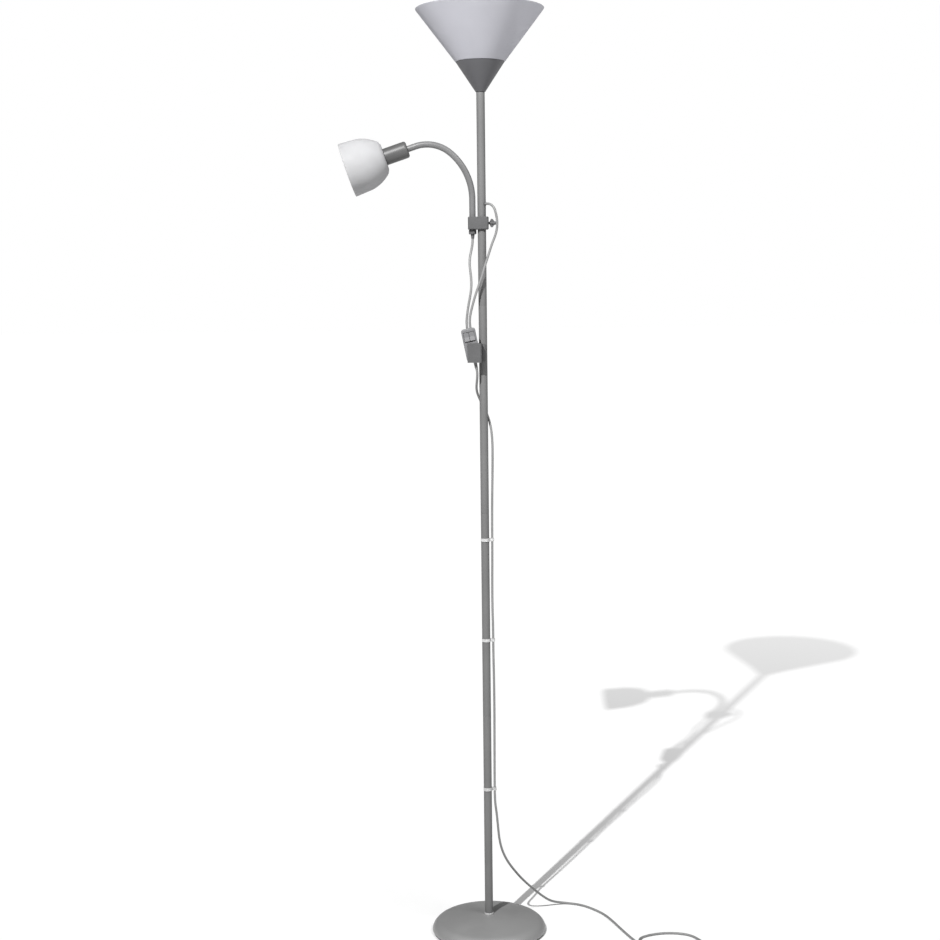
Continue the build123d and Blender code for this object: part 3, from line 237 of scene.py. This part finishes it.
# Mesh object at the origin; doubled points at seams and poles are merged, holes filled and faces turned outwards.
def newPiece(name, corners, faces, finish):
    mesh = bpy.data.meshes.new(name)
    mesh.from_pydata(corners.reshape(-1, 3).tolist(), [], faces.tolist())
    mesh.validate()
    work = bmesh.new()
    work.from_mesh(mesh)
    bmesh.ops.remove_doubles(work, verts=work.verts, dist=meshing["merge"])
    bmesh.ops.dissolve_degenerate(work, dist=meshing["sliver"], edges=work.edges)
    holes = [edge for edge in work.edges if edge.is_boundary]
    bmesh.ops.holes_fill(work, edges=holes, sides=0)
    bmesh.ops.recalc_face_normals(work, faces=work.faces)
    work.to_mesh(mesh)
    work.free()
    mesh.shade_smooth()
    mesh.set_sharp_from_angle(angle=radians(meshing["sharpAngle"]))
    mesh.materials.append(finishes[finish])
    piece = bpy.data.objects.new(name, mesh)
    scene.collection.objects.link(piece)
    return piece


# Quads between neighbours of a grid of points, joined end to end where it loops.
def gridFaces(rows, columns, loopRows, loopColumns):
    row = np.arange(rows if loopRows else rows - 1)[:, None]
    column = np.arange(columns if loopColumns else columns - 1)[None, :]
    nextRow = (row + 1) % rows
    nextColumn = (column + 1) % columns
    corners = (row * columns + column, row * columns + nextColumn)
    opposite = (nextRow * columns + nextColumn, nextRow * columns + column)
    return np.stack([*corners, *opposite], axis=-1).reshape(-1, 4)


# Outline through (x, y, round) points, each corner replaced by a parabola that leaves its two sides
# round * tan(turn / 2) before and after the corner.
def softened(points, closed=False, share=4):
    outline = []
    count = len(points)
    for index, (x, y, radius) in enumerate(points):
        here = np.array((x, y), float)
        ends = not closed and index in (0, count - 1)
        if ends or not radius:
            outline.append(here)
            continue
        into = here - np.array(points[index - 1][:2], float)
        away = np.array(points[(index + 1) % count][:2], float) - here
        lengths = np.hypot(*into), np.hypot(*away)
        into, away = into / lengths[0], away / lengths[1]
        turn = acos(float(np.clip(into @ away, -1, 1)))
        cut = min(radius * tan(turn / 2), 0.49 * min(lengths))
        t = np.linspace(0, 1, share + 1)[:, None]
        before, after = here - into * cut, here + away * cut
        outline.extend((1 - t) ** 2 * before + 2 * t * (1 - t) * here + t**2 * after)
    return np.array(outline)


# Each profile point (r, h) turned about the axis: origin + h * axis + r * (cos a * u + sin a * v).
def lathe(name, profile, finish, origin=(0, 0, 0), axis=(0, 0, 1), around=96, ring=False):
    axis = np.array(Vector(axis).normalized())
    side = np.array(Vector(axis).orthogonal().normalized())
    other = np.cross(axis, side)
    angle = np.linspace(0, 2 * pi, around, endpoint=False)
    out = np.cos(angle)[:, None] * side + np.sin(angle)[:, None] * other
    r, h = np.asarray(profile, float).T
    points = np.array(origin) + h[:, None, None] * axis + r[:, None, None] * out[None]
    return newPiece(name, points, gridFaces(len(r), around, ring, True), finish)


# Points of an arc, angles in degrees.
def arc(centreX, centreY, radius, start, end, count=12):
    angle = np.radians(np.linspace(start, end, count))
    return np.stack([centreX + radius * np.cos(angle), centreY + radius * np.sin(angle)], axis=1)


# Round tube along path points; its cross-section's direction is carried along without twist.
def sweep(name, path, radius, finish, around=16):
    path = np.asarray(path, float)
    ways = np.gradient(path, axis=0)
    ways /= np.linalg.norm(ways, axis=1)[:, None]
    sides = np.zeros_like(path)
    side = np.array(Vector(ways[0]).orthogonal().normalized())
    for index, way in enumerate(ways):
        side = side - way * (side @ way)
        side = side / np.linalg.norm(side)
        sides[index] = side
    others = np.cross(ways, sides)
    radii = np.broadcast_to(np.asarray(radius, float), len(path))[:, None, None]
    angle = np.linspace(0, 2 * pi, around, endpoint=False)[None, :, None]
    rings = path[:, None] + radii * (np.cos(angle) * sides[:, None] + np.sin(angle) * others[:, None])
    return newPiece(name, rings, gridFaces(len(path), around, False, True), finish)


# Open NURBS spline whose control points are the route.
def splineCurve(name, route, resolution=8):
    data = bpy.data.curves.new(name, "CURVE")
    data.dimensions = "3D"
    spline = data.splines.new("NURBS")
    spline.points.add(len(route) - 1)
    spline.points.foreach_set("co", np.c_[np.array(route, float), np.ones(len(route))].ravel())
    spline.order_u = 3
    spline.use_endpoint_u = True
    spline.resolution_u = resolution
    data.resolution_u = resolution
    data.render_resolution_u = 0
    return data


def curvePiece(name, route, diameter, finish, resolution=8):
    data = splineCurve(name, route, resolution)
    data.bevel_depth = diameter / 2
    data.bevel_resolution = 4
    data.use_fill_caps = True
    data.materials.append(finishes[finish])
    piece = bpy.data.objects.new(name, data)
    scene.collection.objects.link(piece)
    return piece


# Points along the spline itself, as Blender works them out.
def splinePoints(route, resolution=8):
    data = splineCurve("line", route, resolution)
    carrier = bpy.data.objects.new("line", data)
    scene.collection.objects.link(carrier)
    bpy.context.view_layer.update()
    mesh = bpy.data.meshes.new_from_object(carrier)
    points = np.zeros(len(mesh.vertices) * 3)
    mesh.vertices.foreach_get("co", points)
    bpy.data.objects.remove(carrier)
    bpy.data.meshes.remove(mesh)
    return points.reshape(-1, 3)


leadDiameter = 0.0046
uplightLeadRoute = [
    (0.00717, -0.0056, 1.4365), (0.01253, -0.00979, 1.4365), (0.0174, -0.0136, 1.4345), (0.0216, -0.0169, 1.4307),
    (0.0246, -0.0192, 1.4254), (0.0262, -0.0204, 1.4192), (0.0284, -0.0206, 1.4095), (0.0292, -0.0206, 1.3975),
    (0.028, -0.0204, 1.3855), (0.0244, -0.0202, 1.3735), (0.0196, -0.02, 1.3625), (0.015, -0.0199, 1.349),
    (0.0102, -0.0198, 1.3345), (0.005, -0.0198, 1.319), (-0.0014, -0.0198, 1.298), (-0.0072, -0.02, 1.282),
    (-0.0136, -0.0203, 1.2645), (-0.0194, -0.0206, 1.245), (-0.024, -0.0208, 1.227), (-0.02589, -0.021, 1.21019),
    (-0.02344, -0.021, 1.19803),
]
readingLeadRoute = [
    (-0.0177, 0, 1.38), (-0.0177, 0, 1.3645), (-0.0202, -0.0022, 1.3505), (-0.0234, -0.0052, 1.3365),
    (-0.0244, -0.0086, 1.322), (-0.0228, -0.0118, 1.3075), (-0.0212, -0.0146, 1.2915), (-0.0216, -0.0172, 1.275),
    (-0.0244, -0.0192, 1.2585), (-0.0276, -0.0203, 1.243), (-0.0298, -0.0208, 1.2275), (-0.03187, -0.021, 1.20847),
    (-0.02952, -0.021, 1.19681),
]
mainsLeadRoute = [
    (-0.01698, -0.021, 1.14221), (-0.01466, -0.021, 1.13095), (-0.01204, -0.021, 1.1177), (-0.012, -0.0172, 1.1065),
    (-0.013, -0.01, 1.0965), (-0.0139, -0.0018, 1.0865), (-0.0126, 0.0066, 1.0755), (-0.0079, 0.0124, 1.0635),
    (-0.0018, 0.0154, 1.05), (0.0058, 0.0144, 1.035), (0.0116, 0.0104, 1.018), (0.0152, 0.0048, 0.997),
    (0.0164, 0.0008, 0.97), (0.0158, -0.0004, 0.925), (0.0144, -0.0002, 0.868), (0.0138, 0, 0.814),
    (0.0138, 0, 0.764), (0.013, 0.0005, 0.706), (0.0129, 0.0003, 0.655), (0.0138, 0, 0.615),
    (0.0138, 0, 0.565), (0.0146, 0.0005, 0.508), (0.0148, 0.0002, 0.452), (0.0144, -0.0003, 0.4),
    (0.0141, -0.0004, 0.352), (0.0138, 0, 0.315), (0.0138, 0, 0.265), (0.0172, 0.0008, 0.24),
    (0.0196, 0.0025, 0.212), (0.022, 0.007, 0.184), (0.0275, 0.0145, 0.158), (0.038, 0.0255, 0.132),
    (0.0525, 0.0405, 0.107), (0.07, 0.06, 0.08), (0.0905, 0.081, 0.054), (0.111, 0.102, 0.0295),
    (0.131, 0.121, 0.01), (0.16, 0.1325, 0.0023), (0.191, 0.1215, 0.0023), (0.215, 0.098, 0.0023),
    (0.236, 0.0675, 0.0023), (0.25, 0.0308, 0.0023), (0.2635, -0.0127, 0.0023), (0.277, -0.052, 0.0023),
    (0.2855, -0.074, 0.0024), (0.2903, -0.092, 0.0028), (0.292, -0.1075, 0.0034),
]
plugLeadRoute = [
    (0.31, -0.0927, 0.00855), (0.2998, -0.087, 0.0066), (0.2939, -0.0766, 0.0044), (0.2939, -0.0646, 0.0028),
    (0.3, -0.0542, 0.0023), (0.3104, -0.0466, 0.0023), (0.323, -0.0408, 0.0023), (0.338, -0.0362, 0.0023),
    (0.355, -0.0344, 0.0023), (0.372, -0.0362, 0.0023), (0.388, -0.0415, 0.0023), (0.4006, -0.0514, 0.0023),
    (0.4086, -0.0652, 0.0023), (0.4129, -0.0796, 0.0037), (0.414, -0.092, 0.00705), (0.414, -0.103, 0.00705),
]
coil = {
    "centre": (0.326, -0.128),
    "outer": 0.034,  # first turn's radius
    "pitch": 0.0052,
    "low": 0.0034,
    "rise": 0.00515,
    "inwardTurns": 3,
    "outwardTurns": 3.25,
    "pointsPerTurn": 24,
}


# Points of the coil: inwards on the floor by one pitch a turn, half a turn up, then outwards on top.
def coilRoute(centre, outer, pitch, low, rise, inwardTurns, outwardTurns, pointsPerTurn):
    fit = 1 / (0.75 + 0.25 * cos(2 * pi / pointsPerTurn))  # a spline runs a little inside its points
    inner = outer - pitch * inwardTurns
    points = []
    count = round((inwardTurns + 0.5 + outwardTurns) * pointsPerTurn)
    for index in range(count + 1):
        turn = index / pointsPerTurn
        climb = min(max((turn - inwardTurns) * 2, 0), 1)
        height = low + rise * (3 * climb**2 - 2 * climb**3)
        if turn <= inwardTurns:
            radius = outer - pitch * turn
        elif climb < 1:
            radius = inner - pitch * climb * (1 - climb) / 2
        else:
            radius = inner + pitch * (turn - inwardTurns - 0.5)
        angle = pi + 2 * pi * turn
        points.append((centre[0] + fit * radius * cos(angle), centre[1] + fit * radius * sin(angle), height))
    return points


uplightLead = curvePiece("uplightLead", uplightLeadRoute, leadDiameter, "leadJacket")
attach(uplightLead, "stand")
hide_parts("uplight_lead")

readingPath = splinePoints(readingLeadRoute)
readingLead = sweep("readingLead", readingPath, leadDiameter / 2, "leadJacket")
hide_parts("reading_lead")
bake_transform(readingLead)

mainsRoute = mainsLeadRoute + coilRoute(**coil) + plugLeadRoute
mainsLead = curvePiece("mainsLead", mainsRoute, leadDiameter, "leadJacket", 6)
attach(mainsLead, "stand")
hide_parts("mains_lead", "mains_coil", "plug_lead")
print("leads: three")

base = {
    "domeRadius": 0.45,
    "top": 0.033,
    "rim": 0.1135,
    "edge": 0.022,
    "roll": 66,
    "lip": 0.0046,
    "wall": 0.0012,
    "hole": 0.0051,
}


# Half section of the cover: an arc of the dome, a small arc round the edge and a straight lip.
def coverSide(domeRadius, top, rim, edge, roll, lip, wall, hole, inset=0.0):
    middle = top - domeRadius
    knee = degrees(asin((rim - edge) / (domeRadius - edge)))
    first = degrees(asin(hole / (domeRadius - inset)))
    dome = arc(0, middle, domeRadius - inset, 90 - first, 90 - knee, 60)
    kneeWay = np.array([sin(radians(knee)), cos(radians(knee))])
    spot = np.array([0, middle]) + (domeRadius - edge) * kneeWay
    edgeArc = arc(*spot, edge - inset, 90 - knee, 90 - knee - roll, 20)
    end = edgeArc[-1]
    return np.vstack([dome, edgeArc[1:], [(end[0], lip)]])


outside = coverSide(**base)
inside = coverSide(**base, inset=base["wall"])
hem = arc((outside[-1][0] + inside[-1][0]) / 2, base["lip"], base["wall"] / 2, 0, -180, 9)
baseCover = lathe(
    "baseCover", np.vstack([outside[:-1], hem, inside[::-1][1:]]), "basePaint", around=192, ring=True
)
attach(baseCover, "stand")
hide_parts("base_cover")

collar = {"radius": 0.009, "bottom": 0.033, "height": 0.0035, "hole": 0.0051, "corner": 0.0009}


def collarSide(radius, bottom, height, hole, corner):
    top = bottom + height
    points = [(hole, bottom, 0), (radius, bottom, corner / 2), (radius, top, corner), (hole, top, corner / 3)]
    return softened(points, True, 6)


baseCollar = lathe("baseCollar", collarSide(**collar), "clearPlastic", around=64, ring=True)
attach(baseCollar, "stand")
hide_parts("base_collar")
print("base: cover and collar")

pole = {"radius": 0.008, "wall": 0.001, "foot": 0.0365, "top": 1.646, "sections": 4, "edge": 0.0005}


# Tube section: a thin wall with its two outer rims rounded, so that each joint shows as a fine line.
def poleSection(number, radius, wall, foot, top, sections, edge):
    length = (top - foot) / sections
    low = foot + number * length
    high = low + length
    inner = radius - wall
    steps = np.linspace(low, high, 26)[1:-1]
    points = [(inner, low, 0), (radius, low, edge), *[(radius, z, 0) for z in steps], (radius, high, edge)]
    return lathe(
        f"poleSection{number + 1}", softened(points + [(inner, high, 0)], True), "polePaint", around=64, ring=True
    )


for number in range(pole["sections"]):
    section = poleSection(number, **pole)
    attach(section, "stand")
    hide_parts(f"pole_section_{number + 1}")

grommetWay = np.array([cos(radians(-38)), sin(radians(-38)), 0])
grommetSide = softened(
    [(0.00235, 0.0045, 0), (0.0034, 0.0045, 0), (0.0034, 0.008, 0), (0.0043, 0.008, 0)]
    + [(0.0043, 0.0091, 0.0008), (0.0030, 0.0093, 0.0004), (0.00235, 0.0091, 0)],
    True,
)
grommet = lathe("grommet", grommetSide, "greyPlastic", (0, 0, 1.4365), grommetWay, 40, True)
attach(grommet, "stand")
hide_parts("grommet")
print("pole: four sections and the grommet")

cup = {"foot": 0.0092, "mouth": 0.0464, "low": 1.646, "high": 1.702, "wall": 0.0018}
cup.update({"floor": 1.650, "hole": 0.0051})
slope = (cup["mouth"] - cup["foot"]) / (cup["high"] - cup["low"])
across = cup["wall"] * sqrt(1 + slope**2)
cupSide = softened(
    [(cup["hole"], cup["low"], 0), (cup["foot"], cup["low"], 0.0006), (cup["mouth"], cup["high"], 0.0006)]
    + [(cup["mouth"] - across, cup["high"], 0.0004)]
    + [(cup["foot"] + slope * 0.004 - across, cup["floor"], 0.0008), (cup["hole"], cup["floor"], 0)],
    True,
    6,
)
uplightCup = lathe("uplightCup", cupSide, "cupPlastic", around=128, ring=True)
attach(uplightCup, "stand")
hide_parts("uplight_cup")

shade = {"foot": 0.047, "rim": 0.122, "low": 1.702, "high": 1.8, "wall": 0.0018, "hole": 0.0196}
slope = (shade["rim"] - shade["foot"]) / (shade["high"] - shade["low"])
across = shade["wall"] * sqrt(1 + slope**2)
shadeSide = softened(
    [(shade["hole"], shade["low"], 0), (shade["foot"], shade["low"], 0.0012)]
    + [(shade["rim"], shade["high"], 0.0008), (shade["rim"] - across, shade["high"], 0.0008)]
    + [(shade["foot"] + slope * shade["wall"] - across, shade["low"] + shade["wall"], 0.002)]
    + [(shade["hole"], shade["low"] + shade["wall"], 0)],
    True,
    8,
)
uplightShade = lathe("uplightShade", shadeSide, "uplightShadePlastic", around=192, ring=True)
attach(uplightShade, "stand")
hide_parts("uplight_shade")


# Half section of a bulb's glass: neck, flare and ball, and the same again a wall's thickness inside.
def bulbSide(neck, bottom, centre, radius, wall):
    def side(inset):
        flare = centre - radius * sin(radians(35)), radius * cos(radians(35))
        line = [(neck - inset, bottom, 0), (neck - inset, bottom + 0.007, 0.012)]
        line.append((flare[1] - inset, flare[0], 0.004))
        ball = arc(0, centre, radius - inset, -35, 90, 24)
        ball[-1, 0] = 0
        return np.vstack([softened(line, False, 8)[:-1], ball])

    return np.vstack([side(0), side(wall)[::-1]])


# Half section of a threaded ring with a sloping, stepped outer face.
def shadeRing(inner, bottom, width, height):
    points = [(inner, bottom, 0), (inner + width, bottom, 0.0004), (inner + width, bottom + height / 3, 0.0006)]
    points += [(inner + width / 3, bottom + height, 0.0006), (inner, bottom + height, 0.0003)]
    return softened(points, True)


uplightRing = lathe(
    "uplightShadeRing", shadeRing(0.0194, 1.7038, 0.0069, 0.006), "whitePlastic", around=96, ring=True
)
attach(uplightRing, "stand")
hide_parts("uplight_shade_ring")
uplightBulb = lathe("uplightBulb", bulbSide(0.01215, 1.7076, 1.7516, 0.029, 0.001), "bulbGlass", around=96)
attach(uplightBulb, "stand")
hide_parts("uplight_bulb_globe")
print("uplight: cup, shade, ring and bulb")

arm = {
    "radius": 0.006,
    "offset": 0.0177,
    "bottom": 1.4122,
    "straightEnd": 1.445,
    "first": 0.115,  # first bend's radius
    "firstTurn": 50.0,
    "second": 0.0692,
    "end": 108.5,  # whole turn of both bends
    "tail": 0.015,
    "around": 40,
    "step": 0.0012,
    "footHinge": 0.0118,
    "firstLink": 12.5,  # degrees of bend between hinges
    "secondLink": 19.5,
    "bendShare": 0.84,  # of the way to the nearer end
}
firstCentre = np.array([-arm["offset"] - arm["first"], 0, arm["straightEnd"]])


def out(turn):
    return np.array([cos(radians(turn)), 0, sin(radians(turn))])


def way(turn):
    return np.array([-sin(radians(turn)), 0, cos(radians(turn))])


secondCentre = firstCentre + out(arm["firstTurn"]) * (arm["first"] - arm["second"])
headOrigin = secondCentre + out(arm["end"]) * arm["second"] + way(arm["end"]) * arm["tail"]
headWay = way(arm["end"])
straight = arm["straightEnd"] - arm["bottom"]
firstLength = arm["first"] * radians(arm["firstTurn"])
secondLength = arm["second"] * radians(arm["end"] - arm["firstTurn"])
armLength = straight + firstLength + secondLength + arm["tail"]


# Middle of the arm after a length s from the clamp: up, round the first bend, round the second, straight.
def armPoint(s):
    if s <= straight:
        return np.array([-arm["offset"], 0, arm["bottom"] + s])
    s -= straight
    if s <= firstLength:
        return firstCentre + out(degrees(s / arm["first"])) * arm["first"]
    s -= firstLength
    if s <= secondLength:
        return secondCentre + out(arm["firstTurn"] + degrees(s / arm["second"])) * arm["second"]
    return secondCentre + out(arm["end"]) * arm["second"] + headWay * (s - secondLength)


firstStep = radians(arm["firstLink"]) * arm["first"]
secondStep = radians(arm["secondLink"]) * arm["second"]
hinges = [arm["footHinge"], straight]
hinges += [straight + number * firstStep for number in range(1, 5)]
hinges += [straight + firstLength + number * secondStep for number in range(1, 3)]
cuts = [0.0] + [(low + high) / 2 for low, high in zip(hinges, hinges[1:])] + [armLength]
for number, hinge in enumerate(hinges):
    low, high = cuts[number], cuts[number + 1]
    stations = np.linspace(low, high, max(8, round((high - low) / arm["step"])) + 1)
    path = np.array([armPoint(s) for s in stations])
    sleeve = sweep(f"armSleeve{number + 1}", path, arm["radius"], "armSleeve", arm["around"])
    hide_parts(f"arm_link_{number + 1}")
    reach = arm["bendShare"] * min(hinge - low, high - hinge)
    ends = {"start": armPoint(hinge - reach), "end": armPoint(hinge + reach)}
    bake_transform(sleeve)
footSide = softened(
    [(0, 1.379, 0), (0.005, 1.379, 0.0005), (0.005, 1.394, 0)]
    + [(0.0059, 1.394, 0), (0.0059, 1.4135, 0), (0, 1.4135, 0)]
)
armFoot = lathe("armFoot", footSide, "armSleeve", (-arm["offset"], 0, 0), around=arm["around"])
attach(armFoot, "arm_foot")
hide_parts("arm_foot_tube")
print("arm: foot and eight pieces of sleeve")

headSide = softened(
    [(0.0051, 0, 0), (0.016, 0, 0.0105), (0.016, 0.046, 0.0003), (0.0144, 0.046, 0), (0.0144, 0.0016, 0.0087)]
    + [(0.0051, 0.0016, 0)],
    True,
    10,
)
headCover = lathe("readingCover", headSide, "headPlastic", headOrigin, headWay, 96, True)
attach(headCover, "arm_8")
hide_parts("reading_holder_cover")

readingShadeSettings = {"hole": 0.0139, "back": 0.0245, "shoulder": (0.0315, 0.0495), "belly": (0.0423, 0.065)}
readingShadeSettings.update({"waist": (0.05, 0.088), "rim": (0.052, 0.1215), "start": 0.046, "wall": 0.0016})


# Arc through three points, as (r, h) pairs.
def throughThree(a, b, c, count):
    a, b, c = (np.array(point, float) for point in (a, b, c))
    system = 2 * np.array([b - a, c - a])
    centre = np.linalg.solve(system, [b @ b - a @ a, c @ c - a @ a])
    start, end = (atan2(*(point - centre)[::-1]) for point in (a, c))
    radius = np.hypot(*(a - centre))
    return arc(*centre, radius, degrees(start), degrees(end), count)


# Half section of the bell: flat back, small shoulder, a long arc and a nearly straight skirt. The inner face
# is the outer one moved along its own normals by the wall.
def readingSide(hole, back, shoulder, belly, waist, rim, start, wall):
    bell = throughThree(shoulder, belly, waist, 24)
    face = np.vstack([softened([(hole, start, 0), (back, start, 0.002), (*shoulder, 0)]), bell[1:], [rim]])
    ways = np.gradient(face, axis=0)
    ways /= np.linalg.norm(ways, axis=1)[:, None]
    inner = face + wall * np.stack([-ways[:, 1], ways[:, 0]], axis=1)
    inner[0] = (hole, start + wall)
    end = (face[-1] + inner[-1]) / 2
    turn = degrees(atan2(*(face[-1] - inner[-1])[::-1]))
    return np.vstack([face[:-1], arc(*end, wall / 2, turn, turn + 180, 9), inner[::-1][1:]])


readingShade = lathe(
    "readingShade", readingSide(**readingShadeSettings), "readingShadePlastic", headOrigin, headWay, 160, True
)
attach(readingShade, "arm_8")
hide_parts("reading_shade")
readingRing = lathe(
    "readingShadeRing", shadeRing(0.0137, 0.0476, 0.0069, 0.006), "whitePlastic", headOrigin, headWay, 80, True
)
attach(readingRing, "arm_8")
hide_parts("reading_shade_ring")
readingBulb = lathe(
    "readingBulb", bulbSide(0.00585, 0.0514, 0.0859, 0.0225, 0.001), "bulbGlass", headOrigin, headWay, 80
)
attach(readingBulb, "arm_8")
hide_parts("reading_bulb_globe")
print("reading head: cover, shade, ring and bulb")

lean = radians(11.4)
switchOrigin = np.array([-0.0233, -0.021, 1.1695])
switchRight = np.array([cos(lean), 0, sin(lean)])
switchUp = np.array([-sin(lean), 0, cos(lean)])


# Half section of a relief: a cone from root to tip with grooves cut round it.
def reliefSide(root, tip, length, bore, ribs, groove, head):
    h = np.linspace(0, length, ribs * 8 + 1)
    cone = root + (tip - root) * h / length
    cut = groove * np.clip(np.sin(2 * pi * ribs * h / length) - 0.2, 0, 1)
    return np.vstack([head, np.stack([cone - cut, h], axis=1), [(bore, length)]])


mainsReliefSettings = {"root": 0.0035, "tip": 0.00285, "length": 0.017, "bore": 0.0024, "ribs": 6, "groove": 0.00035}
mainsReliefHead = [(0.0024, -0.003), (0.0042, -0.003), (0.0042, -0.0018), (0.003, -0.0018), (0.003, 0)]
mainsRelief = lathe(
    "mainsRelief",
    reliefSide(**mainsReliefSettings, head=mainsReliefHead),
    "leadJacket",
    switchOrigin + switchRight * 0.0008 - switchUp * 0.031,
    -switchUp,
    40,
    True,
)
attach(mainsRelief, "stand")
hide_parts("mains_relief")
armReliefSettings = {"root": 0.0039, "tip": 0.0029, "length": 0.008, "bore": 0.00236, "ribs": 3, "groove": 0.00035}
armRelief = lathe(
    "armRelief",
    reliefSide(**armReliefSettings, head=[(0.00236, -0.006), (0.00295, -0.006), (0.00295, 0)]),
    "greyPlastic",
    (-0.0177, 0, 1.379),
    (0, 0, -1),
    40,
    True,
)
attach(armRelief, "arm_foot")
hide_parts("arm_relief")

kept = {
    "trayPlastic": ["base_tray"],
    "padRubber": ["base_pad"],
    "castIron": ["base_weight"],
    "threadSteel": ["base_stud", "base_nut", "pole_nipples", "switch_screws", "rocker_axle", "pressure_pad"],
    "whitePlastic": ["uplight_lampholder", "reading_lampholder"],
    "brass": ["uplight_contacts", "reading_contacts", "switch_contacts"],
    "capMetal": ["uplight_bulb_cap", "reading_bulb_cap"],
    "leadJacket": ["uplight_wire"],
    "greyPlastic": ["clamp_block", "wing_screw", "arm_foot_nut", "switch_holder", "plug_body"],
    "switchPlastic": ["switch_back_shell", "switch_front_shell", "rocker_uplight", "rocker_reading"],
    "clearPlastic": ["cable_clips", "coil_tie"],
    "pinMetal": ["plug_pins"],
}
for finish, nodes in kept.items():
    for name in nodes:
        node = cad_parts[name]
        if not node.material_slots:
            node.data.materials.append(finishes[finish])
        for slot in node.material_slots:
            slot.material = finishes[finish]
print("kept nodes:", sum(len(nodes) for nodes in kept.values()))

lights = {
    "key": dict(place=(-1.26, -2.88, 3.85), aim=(0, 0, 0.9), size=0.05, power=235),
    "fill": dict(place=(1.7, -1.7, 3.3), aim=(0, 0, 1.5), size=1.6, power=45),
}

floorSettings = {
    "albedo": 0.95,
    "bounced": 0.8,  # albedo for diffuse rays
    "sky": 0.095,  # light from the world
    "white": 1.03,
    "corners": [(-30, -12, 0), (30, -12, 0), (30, 60, 0), (-30, 60, 0)],
}
floorFinish = Finish("floor")
bounced = floorFinish.add("ShaderNodeLightPath", {}, {}, "Is Diffuse Ray")
albedos = [(*(floorSettings[key],) * 3, 1) for key in ("albedo", "bounced")]
pale = floorFinish.mix(bounced, *albedos)
shadow = floorFinish.add("ShaderNodeBsdfDiffuse", {}, {"Color": pale})
rays = ("Is Camera Ray", "Is Glossy Ray", "Is Transmission Ray")
seen = sum(floorFinish.add("ShaderNodeLightPath", {}, {}, ray) for ray in rays)
lit = floorSettings["sky"]
for light in lights.values():
    spot, aim = (np.array(light[key], float) for key in ("place", "aim"))
    ray = floorFinish.add("ShaderNodeVectorMath", {"operation": "SUBTRACT"}, {0: floorFinish.place, 1: spot})
    reach = floorFinish.add("ShaderNodeVectorMath", {"operation": "LENGTH"}, {0: ray}, "Value")
    facing = (aim - spot) / np.linalg.norm(aim - spot)
    along = floorFinish.add("ShaderNodeVectorMath", {"operation": "DOT_PRODUCT"}, {0: ray, 1: facing}, "Value")
    # light from a flat lamp on a level floor: power * cos(lamp) * cos(floor) / (pi * distance) ** 2
    lit = lit + floorSettings["albedo"] * light["power"] * spot[2] / pi**2 * along / reach**4
# The floor shows white where it is lit less, and still takes the shadow.
lift = floorFinish.largest(floorSettings["white"] - lit, 0.0)
glow = floorFinish.add("ShaderNodeEmission", {}, {"Color": (1, 1, 1, 1), "Strength": lift * seen})
both = floorFinish.add("ShaderNodeAddShader", {}, {0: shadow, 1: glow})
floorFinish.put(floorFinish.tree.nodes["Material Output"].inputs["Surface"], both)
floorMesh = bpy.data.meshes.new("floor")
floorMesh.from_pydata(floorSettings["corners"], [], [(0, 1, 2, 3)])
floorMesh.materials.append(floorFinish.material)
floor = bpy.data.objects.new("floor", floorMesh)
scene.collection.objects.link(floor)

for name, light in lights.items():
    data = bpy.data.lights.new(name, "AREA")
    data.shape = "DISK"
    data.size = light["size"]
    data.energy = light["power"]
    lamp = bpy.data.objects.new(name, data)
    scene.collection.objects.link(lamp)
    spot = Vector(light["place"])
    aim = (Vector(light["aim"]) - spot).to_track_quat("-Z", "Y")
    lamp.matrix_world = Matrix.Translation(spot) @ aim.to_matrix().to_4x4()

worldSettings = {"light": 0.1, "backdrop": 1.0}
world = bpy.data.worlds.new("studio")
scene.world = world
world.use_nodes = True
sky = NodeMaker(world.node_tree)
path = [sky.add("ShaderNodeLightPath", {}, {}, ray) for ray in ("Is Camera Ray", "Is Transmission Ray")]
dim, bright = (
    sky.add("ShaderNodeBackground", {}, {"Color": (1, 1, 1, 1), "Strength": worldSettings[key]})
    for key in ("light", "backdrop")
)
backdrop = sky.add("ShaderNodeMixShader", {}, {0: sky.largest(*path), 1: dim, 2: bright})
sky.put(sky.tree.nodes["World Output"].inputs["Surface"], backdrop)
print("floor, backdrop and lights set")
